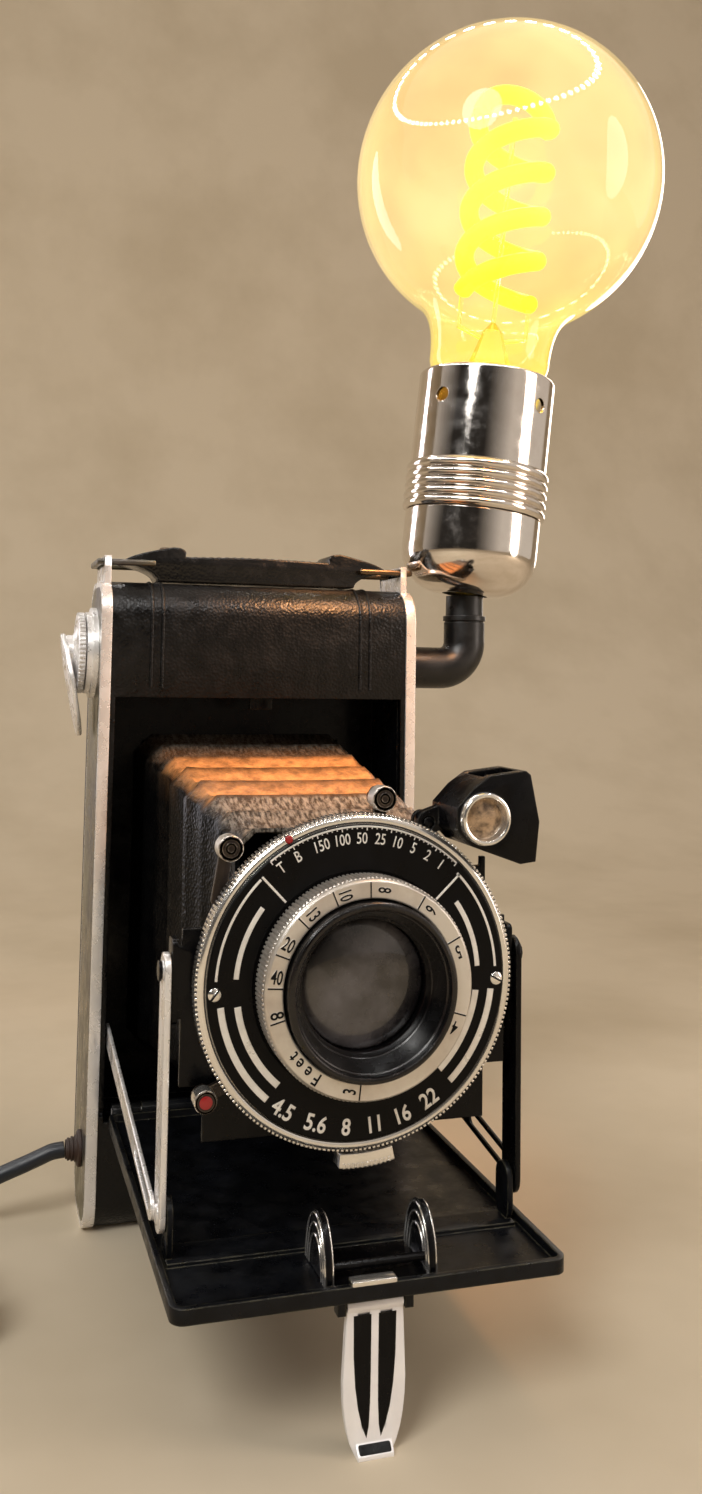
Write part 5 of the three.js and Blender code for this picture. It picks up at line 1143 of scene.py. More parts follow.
# Key from the upper left, fill from the right, two edge lamps for gloss alone, and the bulb's own warm spill
LAMPS = (
    SoftLamp("key", (-0.6, -0.7, 0.85), (0, -0.03, 0.12), (0.5, 0.6), 7.0, "#fffdf8"),
    SoftLamp("fill", (0.9, -0.55, 0.4), (0, -0.05, 0.12), (0.35, 0.8), 3.5, "#ffeee2"),
    SoftLamp("left_edge", (-0.42, 0.5, 0.28), (-0.42, -1, 0.28), (0.2, 0.6), 1.2, "#f6f4ff", on_matt=False),
    SoftLamp("right_edge", (0.62, 0.5, 0.45), (0.62, -1, 0.45), (0.35, 0.6), 2.0, "#fff2e6", on_matt=False),
    SoftLamp("bulb_light", (0.052, -0.075, 0.232), (0.012, -0.035, 0.14), (0.04, 0.04), 0.05, "#ffb06a", 70.0),
)


@dataclass
class Studio:
    """Camera at the photograph's view, seamless paper and soft lamps."""

    eye: Point = (-0.074978, -0.333042, 0.139209)
    right: Point = (0.956643, -0.290832, 0.015828)
    up: Point = (-0.036395, -0.065446, 0.997192)
    ahead: Point = (0.28898, 0.95453, 0.07319)
    focal_length: float = 29.831
    shift: Flat = (0.00597, -0.1105)
    half_width: float = 3.0
    front: float = -3.0
    back: float = 0.9
    bend: float = 0.5
    top: float = 1.7
    dark_side: Point = (-0.68, -0.73, 0.0)
    dark_from: float = 0.3
    dark_to: float = 0.85
    room_dark: float = 0.03
    room_light: float = 0.75
    room_colour: str = "#e6d8c8"
    room_seen: str = "#a89880"
    ring_centre: Point = (-58.0, -20.0, 585.0)
    ring_near: Point = (-0.394, -0.868, -0.303)
    ring_side: Point = (0.910, -0.415, 0.0)
    ring_radius: float = 375.0
    diodes: int = 60
    diode_radius: float = 11.0

    def camera(self) -> None:
        """Sets the camera up."""
        data = bpy.data.cameras.new("view")
        data.sensor_width, data.sensor_fit, data.lens = 36, "AUTO", self.focal_length
        data.shift_x, data.shift_y = self.shift
        data.clip_start, data.clip_end = 0.01, 20
        camera = linked("view", data)
        turn = Matrix((self.right, self.up, tuple(-v for v in self.ahead))).transposed().to_4x4()
        camera.matrix_world = Matrix.Translation(self.eye) @ turn
        bpy.context.scene.camera = camera

    def paper(self) -> None:
        """Lays the floor and bends it up to a backdrop, which can be seen through from behind."""
        profile = [(self.front, 0.0)]
        for angle in angles(12):
            profile.append((self.back - self.bend + self.bend * math.sin(angle), self.bend * (1 - math.cos(angle))))
        profile.append((self.back, self.top))
        points, faces = [], []
        for y, z in profile:
            points += [(-self.half_width, y, z), (self.half_width, y, z)]
        for i in range(len(profile) - 1):
            faces.append((2 * i, 2 * i + 1, 2 * i + 3, 2 * i + 2))
        mesh = bpy.data.meshes.new("paper")
        mesh.from_pydata(points, [], faces)
        mesh.shade_smooth()
        made = PAPER.material()
        tree = made.node_tree
        behind = add_node(tree, "ShaderNodeNewGeometry")["Backfacing"]
        inputs = {0: behind, 1: tree.nodes["Principled BSDF"].outputs[0]}
        inputs[2] = add_node(tree, "ShaderNodeBsdfTransparent")[0]
        seen = add_node(tree, "ShaderNodeMixShader", inputs)[0]
        tree.links.new(seen, tree.nodes["Material Output"].inputs["Surface"])
        mesh.materials.append(made)
        linked("paper", mesh)

    def ring_light(self) -> None:
        """Hangs a ring of small diodes over the bulb, which shows only in glass and metal."""
        points = []
        for angle in angles(self.diodes, 2 * math.pi)[:-1]:
            out = Vector(self.ring_near) * math.cos(angle) + Vector(self.ring_side) * math.sin(angle)
            points.append(tuple(Vector(self.ring_centre) + out * self.ring_radius))
        places = dots("diodes", points)
        ring = RIVETS.grown("ring_light", DIODE, Matrix(), places, Radius=self.diode_radius, Flatness=1.0)
        ring.visible_camera = ring.visible_diffuse = ring.visible_shadow = False

    def room(self) -> None:
        """Sets the room's own light: dark left of the camera, light everywhere else."""
        world = bpy.data.worlds.new("room")
        world.use_nodes = True
        tree = world.node_tree
        way = add_node(tree, "ShaderNodeTexCoord")["Generated"]
        inputs = {0: way, 1: self.dark_side}
        near = add_node(tree, "ShaderNodeVectorMath", inputs, {"operation": "DOT_PRODUCT"})["Value"]
        inputs = {0: near, 1: self.dark_from, 2: self.dark_to, 3: self.room_light, 4: self.room_dark}
        light = add_node(tree, "ShaderNodeMapRange", inputs)[0]
        inputs = {0: linear(self.room_colour)[:3], "Scale": light}
        lit = add_node(tree, "ShaderNodeVectorMath", inputs, {"operation": "SCALE"})[0]
        seen = add_node(tree, "ShaderNodeLightPath")["Is Camera Ray"]
        colour = layered(tree, lit, (seen, linear(self.room_seen)))
        tree.links.new(colour, tree.nodes["Background"].inputs["Color"])
        bpy.context.scene.world = world

    def build(self) -> None:
        """Makes the camera, the paper, the lamps and the room's own light."""
        bpy.context.scene.view_settings.view_transform = "Standard"
        self.camera()
        self.paper()
        for lamp in LAMPS:
            lamp.hang()
        self.ring_light()
        self.room()
        LOG.info("studio is set")


@dataclass
class MainsCord:
    """Mains lead: it leaves the gland, runs out of the view and lies in a tied coil with its plug on it."""

    radius: float = 2.0
    clear: float = 0.15
    exit: Point = (-46.5, -3.5, 17.6)
    coil_x: float = -117.8
    coil_radius: float = 27.5
    pitch: float = 4.55
    layers: int = 4
    turns: float = 8.75
    steps_per_turn: int = 48
    length: float = 1639.0
    route: tuple[Point, ...] = (
        (-49.5, -3.5, 17.3), (-52.5, -3.5, 16.2), (-56, -3.5, 14.9), (-62, -3.5, 12.8), (-69, -3.5, 10),
        (-76, -3.5, 7.3), (-84, -3.5, 4.8), (-92, -3.5, 3.1), (-100, -3.5, 2.3),
    )
    tail: tuple[Point, ...] = (
        (0, -8, -0.1), (0, -16, -1.3), (0, -24, -3.3), (0, -32, -5.4), (0, -40, -7.2), (0, -47, -8.3), (0, -56, -8.5),
    )
    tie_angle: float = 200.0
    tie_gap: float = 0.3
    tie_thickness: float = 0.7
    tie_half_width: float = 4.0

    def half_band(self) -> float:
        """Returns half the width of a wound layer, from its inner turn to its outer one."""
        return self.turns / self.layers * self.pitch / 2

    def coil(self) -> list[Vector]:
        """Returns the coil's centreline: four layers that spiral in and out again."""
        per_layer = self.turns / self.layers
        outer = self.coil_radius + self.half_band()
        steps = round(self.turns * self.steps_per_turn)
        points = []
        for i in range(steps + 1):
            turn = self.turns * i / steps
            layer = min(int(turn / per_layer + 1e-9), self.layers - 1)
            within = turn - layer * per_layer
            radius = outer - self.pitch * (within if layer % 2 == 0 else per_layer - within)
            angle = -math.pi / 2 - 2 * math.pi * turn
            nearest = round(turn / per_layer)
            off = turn - nearest * per_layer
            climbs = 0 < nearest < self.layers and abs(off) < 0.25
            level = nearest - 0.5 + 2 * off if climbs else layer
            points.append(Vector((
                self.coil_x + radius * math.cos(angle),
                self.exit[1] + outer + radius * math.sin(angle),
                self.radius + self.clear + level * self.pitch,
            )))
        return points

    def eased_route(self, points: Sequence[Vector]) -> list[Vector]:
        """Fills in a smooth line through points.

        Args:
            points: Points of the route.

        Returns:
            The finer line.
        """
        made = []
        for i in range(len(points) - 1):
            a, b, c, d = (points[max(0, min(k, len(points) - 1))] for k in (i - 1, i, i + 1, i + 2))
            for t in (0.0, 0.25, 0.5, 0.75):
                curved = (2 * a - 5 * b + 4 * c - d) * t * t + (3 * b - a - 3 * c + d) * t**3
                made.append(0.5 * (2 * b + (c - a) * t + curved))
        return made + [points[-1]]

    def lead(self) -> Object:
        """Returns the whole lead as one open curve."""
        coil = self.coil()
        start = [Vector(self.exit)] + [Vector(p) for p in self.route] + [coil[0]]
        end = [coil[-1]] + [coil[-1] + Vector(p) for p in self.tail]
        points = self.eased_route(start)[:-1] + coil[:-1] + self.eased_route(end)
        curve = bpy.data.curves.new("mains_lead", "CURVE")
        curve.dimensions, curve.bevel_depth, curve.bevel_resolution = "3D", self.radius * MM, 4
        curve.use_fill_caps = True
        spline = curve.splines.new("POLY")
        spline.points.add(len(points) - 1)
        for target, point in zip(spline.points, points):
            target.co = (*(point * MM), 1)
        spline.use_smooth = True
        return dressed(linked("mains_lead", curve), "camera", VINYL, ["cord_lead", "cord_coil"])

    def plug(self) -> Object:
        """Returns the moulded plug with grip ribs on its flanks."""
        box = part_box("plug_body")
        body = finished(retraced("plug_body", "plug_mould", 1.6, 4), MOULDED)
        low, high = box[0] / MM, box[1] / MM
        middle = (low + high) / 2
        ribs = [body]
        for i in range(5):
            y = middle.y + 1 + i * 3
            half = 17.3 - 2.1 * (i + 1)
            outline = filleted(oblong(-half, -0.6, half, 0.6), 0.5)
            place = moved(middle.x, y, middle.z)
            ribs.append(finished(slab("rib", outline, -7.2, 7.2, place), MOULDED))
        return dressed(joined("plug_mould", ribs), "camera", None, ["plug_body"])

    def tie(self) -> Object:
        """Returns the tie, a band that goes once round the coil's turns."""
        near = self.coil_radius - self.half_band() - self.radius - self.tie_gap
        far = self.coil_radius + self.half_band() + self.radius + self.tie_gap
        high = self.clear + 2 * self.radius + (self.layers - 1) * self.pitch + self.tie_gap
        wall = self.tie_thickness
        inner = filleted(oblong(near, 0.12, far, high), 1.6, 8)
        outer = filleted(oblong(near - wall, 0.01, far + wall, high + wall), 1.8, 8)
        centre = moved(self.coil_x, self.exit[1] + self.coil_radius + self.half_band(), 0)
        place = centre @ spun(self.tie_angle, "Z") @ spun(90, "X")
        n = len(inner)
        ends = (-self.tie_half_width, self.tie_half_width)
        points = [(x, y, h) for h in ends for ring in (inner, outer) for x, y in ring]
        faces = []
        for i in range(n):
            j = (i + 1) % n
            faces += [[i, j, n + j, n + i], [2 * n + i, 2 * n + j, 3 * n + j, 3 * n + i]]
            faces += [[i, j, 2 * n + j, 2 * n + i], [n + i, n + j, 3 * n + j, 3 * n + i]]
        return dressed(shaped("coil_tie", points, faces, place), "camera", TIE_FABRIC)

    def gland(self) -> Object:
        """Returns the strain relief, a tapered rubber sleeve with ribs."""
        profile = [(0.0, 24.2), (2.2, 24.2), (3.1, 39.2), (3.1, 42.4), (4.4, 42.42), (4.4, 43.1), (4.0, 43.4)]
        for i in range(3):
            height, radius = 43.5 + 0.9 * i, 3.2 - 0.25 * i
            profile += [(radius, height), (radius, height + 0.4)]
            profile += [(radius - 0.4, height + 0.5), (radius - 0.4, height + 0.8)]
        profile += [(2.3, 46.2), (0.0, 46.2)]
        place = moved(0, self.exit[1], self.exit[2]) @ LEFTWARD
        return dressed(turned("strain_relief", profile, place, 32), "camera", RUBBER, ["cord_gland"])

    def build(self) -> None:
        lead, plug, tie = self.lead(), self.plug(), self.tie()
        self.gland()


# The camera's body


@dataclass
class BodyDress:
    """Leather-covered shell, nickel side plates, back fittings and the lines pressed into the leather."""

    front: float = -15.5
    back: float = 12.5
    height: float = 162.0
    corner: float = 9.0
    plate_outer: float = 42.3
    rim: float = 1.5
    line_x: float = 28.0
    line_half_gap: float = 1.4
    line_low: float = 134.6
    line_sunk: float = 0.1
    line_radius: float = 0.5

    def plate_outline(self, inset: float) -> list[Flat]:
        """Gives a side plate's outline.

        Args:
            inset: How far it lies inside the plate's edge, in millimetres.

        Returns:
            Its points as (height, depth).
        """
        low, high, radius = self.front - 0.5 + inset, self.back - inset, self.corner - inset * 0.6
        made = []
        for k, (z, y) in enumerate(oblong(inset, low, self.height - inset, high)):
            centre_z = z + radius if k in (0, 3) else z - radius
            centre_y = y + radius if k < 2 else y - radius
            for angle in angles(12):
                turn = (2 + k) % 4 * math.pi / 2 + angle
                made.append((centre_z + radius * math.cos(turn), centre_y + radius * math.sin(turn)))
        return made

    def plate(self, side: Side) -> Object:
        """Makes one side plate with its bright rim and a dull field.

        Args:
            side: Side of the camera.

        Returns:
            The plate.
        """
        word = side.name.lower()
        place = LEFTWARD @ Matrix.Diagonal((1, 1, -side.value, 1))
        field = slab("field", self.plate_outline(self.rim), self.plate_outer - 0.2, self.plate_outer + 0.06, place)
        parts = [finished(retraced(f"side_plate_{word}", "rim", 0.5, 4), NICKEL), finished(field, DULL_NICKEL)]
        return dressed(joined(f"plate_{word}", parts), "camera", None, [f"side_plate_{word}"])

    def shell(self) -> Object:
        """Makes the leather-covered shell with its rounded edges."""
        return dressed(retraced("body_shell", "shell", 0.35), "camera", BODY_LEATHER, ["body_shell"])

    def pressed_lines(self) -> Object:
        """Makes the double lines pressed in the leather, from above the bed up over the top."""
        cuts = []
        sunk, gap, reach = self.line_sunk, self.line_half_gap, self.corner - self.line_sunk
        bend_y, bend_z = self.front + self.corner, self.height - self.corner
        for x in (-self.line_x - gap, -self.line_x + gap, self.line_x - gap, self.line_x + gap):
            path = [(x, self.front + sunk, self.line_low), (x, self.front + sunk, bend_z)]
            for angle in angles(12)[1:]:
                path.append((x, bend_y - reach * math.cos(angle), bend_z + reach * math.sin(angle)))
            path.append((x, 6.0, self.height - sunk))
            cuts.append(swept("line", path, self.line_radius, sides=10))
        return dressed(joined("pressed_lines", cuts), "camera", BODY_LEATHER)

    def build(self) -> None:
        """Makes the shell, its plates and the fittings on its back."""
        self.shell()
        self.pressed_lines()
        for side in Side:
            self.plate(side)
        dressed(retraced("back_door", "door_leaf", 0.4), "door", BODY_LEATHER, ["back_door"])
        dressed(retraced("window_cover", "window_slide", 0.25), "cover", NICKEL, ["window_cover"])
        dressed(retraced("back_catch", "door_latch", 0.3), "door_catch", NICKEL, ["back_catch"])
        dressed(retraced("bed_catch", "bed_latch", 0.25), "front_catch", BLACK_ENAMEL, ["bed_catch"])


@dataclass
class CarryStrap:
    """Stitched leather handle whose ends go through two wire rings and fold back over it."""

    middle_y: float = -1.5
    half_width: float = 6.2
    low: float = 162.5
    high: float = 169.1
    fold_x: float = 20.5
    fold_rise: float = 2.6
    end_x: float = 36.5
    pad_x: float = 27.0
    ring_z: float = 167.0
    crown: float = 0.5
    rivet_x: float = 24.4
    stitch_pitch: float = 2.1
    stitch_inset: float = 1.9

    def crown_z(self, x: float) -> float:
        """Returns the height of the pad's crowned top at a place along it."""
        return self.high + self.crown * math.cos(x / self.fold_x * math.pi / 2)

    def outline(self) -> list[Flat]:
        """Returns the strap's side view as (x, z): the pad, its eyes and the folded ends."""

        def curve(a: Flat, b: Flat, c: Flat, steps: int = 8) -> list[Flat]:
            """Returns a bend from the first point to the last, without the first."""
            return [
                tuple(Vector(a) * (1 - t) ** 2 + Vector(b) * 2 * t * (1 - t) + Vector(c) * t * t)
                for t in (k / steps for k in range(1, steps + 1))
            ]

        ring = self.ring_z
        made = [(-self.end_x, ring)] + curve((-self.end_x, ring), (-self.pad_x, ring - 1.4), (-self.pad_x, self.low))
        made += [(self.pad_x, self.low)] + curve((self.pad_x, self.low), (self.pad_x, ring - 1.4), (self.end_x, ring))
        top = (self.fold_x + self.fold_rise, self.high + self.fold_rise)
        made += curve((self.end_x, ring), (self.end_x, self.high), top)
        made += curve(top, (self.fold_x - 0.6, self.high + self.fold_rise), (self.fold_x - 0.8, self.high + 1.2), 5)
        made += [(self.fold_x - 0.6, self.high + 0.1)]
        made += [(x, self.crown_z(x)) for x in (14, 7, 0, -7, -14)]
        made += [(-self.fold_x + 0.6, self.high + 0.1), (-self.fold_x + 0.8, self.high + 1.2)]
        middle = (-self.fold_x + 0.6, self.high + self.fold_rise)
        made += curve((-self.fold_x + 0.8, self.high + 1.2), middle, (-top[0], top[1]), 5)
        made += curve((-top[0], top[1]), (-self.end_x, self.high), (-self.end_x, ring))[:-1]
        return made

    def band(self) -> Object:
        """Makes the leather band with soft edges."""
        band = slab("band", self.outline(), -self.half_width, self.half_width, upright(self.middle_y))
        body = eased(band, 1.1, 4, 40)
        return dressed(body, "camera", STRAP_LEATHER, ["strap"])

    def stitches(self) -> Object:
        """Makes the two rows of stitches along the top of the pad."""
        rows = []
        for side in (-1, 1):
            y = self.middle_y + side * (self.half_width - self.stitch_inset)
            seam = dots("seam", [(x, y, self.crown_z(x) + 0.06) for x in range(-19, 20, 2)], True)
            size = (0.75, 0.24, 0.2)
            rows.append(STITCHES.grown("row", THREAD, Matrix(), seam, Pitch=self.stitch_pitch, Size=size))
        return dressed(joined("strap_stitches", rows), "camera", None)

    def build(self) -> None:
        """Makes the strap, its stitches, its rivets and its two rings."""
        self.band()
        self.stitches()
        points = [(side * self.rivet_x, self.middle_y, self.high + self.fold_rise - 0.1) for side in (-1, 1)]
        rivets = RIVETS.grown("strap_rivets", BRONZE, Matrix(), dots("places", points), Radius=1.7, Flatness=0.34)
        dressed(rivets, "camera", None)
        for side, finish in ((Side.LEFT, DULL_NICKEL), (Side.RIGHT, BRONZE)):
            node = f"strap_ring_{side.name.lower()}"
            dressed(retraced(node, f"wire_{side.name.lower()}", 0.55, 4), "camera", finish, [node])


@dataclass
class WindingKey:
    """Film winding key: a knurled disc, a stepped hub and an oval wing that leans to the body."""

    y: float = -0.5
    z: float = 143.4
    disc: float = 10.6
    hub: float = 4.6
    inner: float = 45.4
    outer: float = 50.3
    wing_half_width: float = 8.4
    wing_up: float = 5.2
    wing_down: float = 22.0
    wing_thickness: float = 1.3
    pinch: float = 0.12
    pinch_at: float = 0.55
    lean: float = 0.19
    ribs: int = 56

    def build(self) -> None:
        """Makes the key as one piece."""
        at = moved(0, self.y, self.z) @ LEFTWARD
        disc, hub, low, high = self.disc, self.hub, self.inner, self.outer
        profile = [
            (0, 33.5), (2.2, 33.5), (2.2, low), (disc - 0.5, low), (disc - 0.3, low + 0.2), (disc - 0.3, low + 1.5),
            (disc - 0.8, low + 1.8), (8.6, low + 1.8), (8.3, low + 1.5), (6.9, low + 1.5), (6.6, low + 1.9),
            (hub + 0.8, low + 2.3), (hub, low + 2.8), (hub, high - 0.5), (hub - 0.5, high), (2.2, high),
            (1.8, high - 0.4), (0, high - 0.4),
        ]
        parts = [finished(turned("core", profile, at, 96), NICKEL)]
        at_rim, size = at @ moved(0, 0, low + 0.9), (0.7, 0.55, 1.5)
        parts.append(TEETH.grown("ribs", NICKEL, at_rim, Count=self.ribs, Radius=disc - 0.35, Size=size))
        middle, half = (self.wing_up - self.wing_down) / 2, (self.wing_up + self.wing_down) / 2
        outline = []
        for angle in angles(64, 2 * math.pi)[:-1]:
            pinch = 1 - self.pinch * math.exp(-((math.sin(angle) - self.pinch_at) ** 2) / 0.05)
            outline.append((middle + half * math.sin(angle), self.wing_half_width * pinch * math.cos(angle)))
        lean = moved(0, 0, high - 1.1) @ Matrix.Rotation(-self.lean, 4, "Y")
        wing = eased(slab("wing", outline, 0, self.wing_thickness, at @ lean), 0.45, 3)
        parts.append(finished(wing, NICKEL))
        dressed(joined("key_and_wing", parts), "key", None, ["winding_key"])


@dataclass
class Bellows:
    """Folded leather bellows from the film gate to the front standard."""

    rear_y: float = 9.4
    front_y: float = -89.1
    rear_half: Flat = (30.0, 41.6)
    front_half: Flat = (22.4, 28.0)
    axis_z: float = 80.0
    pleats: int = 7
    depth: float = 1.9
    wall: float = 0.8
    steps_per_pleat: int = 10
    corner_share: float = 0.1
    points_per_side: int = 10
    crumple: float = 0.22
    sag: float = 0.5
    # Where the upper panels get painted warm light, and how much painted highlight with cracks the rear and front
    # pleats' tops get
    warm_light_span: Flat = (0.286, 0.715)
    warm_light_elsewhere: float = 0.1
    cracks_and_highlight_rear: float = 0.25
    cracks_and_highlight_front: float = 0.9
    kept: float = 0.02

    def half_size(self, share: float) -> Flat:
        """Returns the outer line's half width and half height at a share of the length."""
        return tuple(rear + (front - rear) * share for rear, front in zip(self.rear_half, self.front_half))

    def fold(self, phase: float) -> float:
        """Gives how far the leather lies inside its outer line, from 0 on a ridge to 1 in a valley."""
        wave = abs((phase % 1.0) * 2 - 1)
        return 1 - wave**1.5

    def section(self, share: float, inner: bool) -> list[Point]:
        """Returns one ring of the bellows.

        Args:
            share: From 0 at the film gate to 1 at the standard.
            inner: True for the inner wall.

        Returns:
            The ring's points, in order round the axis.
        """
        phase = share * self.pleats
        valley = self.fold(phase)
        y = self.rear_y + (self.front_y - self.rear_y) * share
        offset = -self.depth * valley - (self.wall if inner else 0)
        half_x, half_z = (half + offset for half in self.half_size(share))
        corner = half_x * self.corner_share * (1 + 0.55 * (1 - valley))
        side_x, side_z = half_x - corner, half_z - corner
        corners = [
            (half_x, side_z), (side_x, half_z), (-side_x, half_z), (-half_x, side_z),
            (-half_x, -side_z), (-side_x, -half_z), (side_x, -half_z), (half_x, -side_z),
        ]
        ring = []
        for k, (x, z) in enumerate(corners):
            x2, z2 = corners[(k + 1) % 8]
            parts = 2 if k % 2 == 0 else self.points_per_side
            for i in range(parts):
                t = i / parts
                px, pz = x + (x2 - x) * t, z + (z2 - z) * t
                crumple = self.crumple * math.sin(px * 0.9 + phase * 5.1) * math.sin(pz * 0.7 - phase * 3.7)
                sag = -self.sag * math.sin(math.pi * t) * (0.4 + valley) if k % 2 else 0.0
                near = (abs(px) / half_x) ** 6 * (abs(pz) / half_z) ** 6
                free = math.sin(math.pi * min(max(share, 0.0), 1.0)) ** 0.4
                pull = (crumple * (0.35 + 1.6 * near) + sag) * free / math.hypot(px, pz)
                ring.append((px + px * pull, y + 0.5 * crumple * near, self.axis_z + pz + pz * pull))
        return ring

    def build(self) -> None:
        """Makes the bellows as a closed double wall, with the marks of painted light that its finish reads."""
        steps = self.pleats * self.steps_per_pleat
        rings = [self.section(i / steps, False) for i in range(steps + 1)]
        rings += [self.section(1 - i / steps, True) for i in range(steps + 1)]
        n = len(rings[0])
        points = [p for ring in rings for p in ring]
        faces = []
        for i in range(len(rings)):
            j = (i + 1) % len(rings)
            faces += [[i * n + k, i * n + (k + 1) % n, j * n + (k + 1) % n, j * n + k] for k in range(n)]
        body = shaped("bellows_folds", points, faces, sharp=50)
        mesh = body.data
        tan = mesh.attributes.new("tan", "FLOAT", "POINT")
        silver = mesh.attributes.new("silver", "FLOAT", "POINT")
        for i, vertex in enumerate(mesh.vertices):
            _, y, z = vertex.co / MM
            share = (y - self.rear_y) / (self.front_y - self.rear_y)
            half_z = self.half_size(share)[1]
            # Painted light only on the top panels: warm light between the rear and front pleats, highlight with cracks
            # on the rear and front pleats
            upward = min(1.0, max(0.0, (z - self.axis_z - half_z * 0.88) / (half_z * 0.06)))
            ridge = 1 - self.fold(share * self.pleats)
            lit = upward * (0.25 + 0.75 * min(1.0, (1 - ridge) * 1.6))
            rear, front = self.warm_light_span
            tan.data[i].value = lit * (1.0 if rear < share < front else self.warm_light_elsewhere)
            cracks_and_highlight_share = self.cracks_and_highlight_front if share >= front else self.cracks_and_highlight_rear if share <= rear else 0.0
            silver.data[i].value = upward * cracks_and_highlight_share
        dressed(body, "camera", BELLOWS, ["bellows"])
        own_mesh(body)


# The front: bed, linkage, shutter and finder


@dataclass
class BedAndFoot:
    """Drop bed with its guide, tab and springy foot."""

    edge_y: float = -115.5
    guide_y: float = -105.5
    guide_half: float = 7.0
    guide_low: float = 28.7
    guide_high: float = 40.0
    foot_y: float = -112.5
    foot_thickness: float = 1.4
    fill_sunk: float = 0.42
    fill_proud: float = 0.03
    leaf: tuple[Flat, ...] = (
        (0.7, 24.2), (0.7, 14.0), (0.75, 9.0), (0.95, 5.0), (1.35, 2.9), (2.2, 5.0), (3.0, 8.0), (3.6, 12.0),
        (3.95, 17.0), (4.05, 24.2),
    )
    lip_place: Flat = (1.6, 0.733)
    lip_slope: float = 42.6

    def guide_ridges(self) -> Object:
        """Makes the bright ridges that run round the guide's two ears."""
        parts = []
        low, rise = self.guide_low + 0.4, self.guide_high - self.guide_low - 0.4
        for x in (-9.15, -7.7, 10.7, 12.15):
            for scale in (0.94, 0.78, 0.6):
                half = self.guide_half * scale
                path = [
                    (x, self.guide_y + half * math.cos(angle), low + rise * scale * math.sin(angle))
                    for angle in angles(24, math.pi)
                ]
                parts.append(swept("ridge", path, 0.24, sides=8))
        return dressed(joined("guide_ridges", parts), "bed", CHROME)

    def foot(self) -> None:
        """Makes the chrome foot, the black fills of its two tapered grooves and the dark edge of its lip."""
        dressed(retraced("foot", "foot_strip", 0.25), "foot", FOOT_CHROME, ["foot"])
        face = self.foot_thickness / 2
        low, high = face - self.fill_sunk, face + self.fill_proud
        fills = []
        for side in (1, -1):
            outline = [(side * x, z) for x, z in self.leaf[::side]]
            fills.append(slab("fill", outline, low, high, upright(self.foot_y)))
        forward, rise = self.lip_place
        slope = moved(0, self.foot_y - face - forward, rise) @ spun(self.lip_slope, "X")
        fills.append(slab("lip", filleted(oblong(-3.0, 0.2, 3.0, 1.9), 0.4, 3), 0, 0.04, slope))
        dressed(joined("foot_grooves", fills), "foot", BLACK_ENAMEL)

    def build(self) -> None:
        """Makes the bed, its guide and its foot."""
        dressed(retraced("bed", "bed_tray", 0.35), "bed", BED_ENAMEL, ["bed"])
        dressed(retraced("bed_guide", "guide_ears", 0.25), "bed", BLACK_ENAMEL, ["bed_guide"])
        self.guide_ridges()
        tab = filleted(oblong(-5.1, 30.3, 3.3, 31.15), 0.25, 3)
        cap = eased(slab("tab_cap", tab, -2.4, 0.1, upright(self.edge_y)), 0.15, 2)
        dressed(cap, "bed", CHROME)
        self.foot()


@dataclass
class Linkage:
    """Legs and struts that hold the front standard up, with the rivets at their joints."""

    pivot_y: float = -92.5
    low_z: float = 37.0
    high_z: float = 82.0
    stud_x: float = 36.7
    stud_radius: float = 1.9
    stud_flatness: float = 0.3

    def build(self) -> None:
        """Makes the four bars and their rivets."""
        finishes = {"left": NICKEL, "right": BLACK_ENAMEL}
        for side in Side:
            word = side.name.lower()
            finish = finishes[word]
            leg = retraced(f"leg_{word}", f"leg_bar_{word}", 0.22)
            dressed(leg, f"leg_{word}", finish, [f"leg_{word}"])
            strut = retraced(f"strut_{word}", f"strut_bar_{word}", 0.18)
            dressed(strut, f"strut_{word}", finish, [f"strut_{word}"])
            for end, height, body in (("low", self.low_z, "bed"), ("high", self.high_z, "standard")):
                places = dots("places", [(side.value * self.stud_x, self.pivot_y, height)])
                stud = RIVETS.grown(
                    f"stud_{end}_{word}", NICKEL, Matrix(), places,
                    Radius=self.stud_radius, Flatness=self.stud_flatness, Turn=(0, math.pi / 2, 0),
                )
                dressed(stud, body, None)


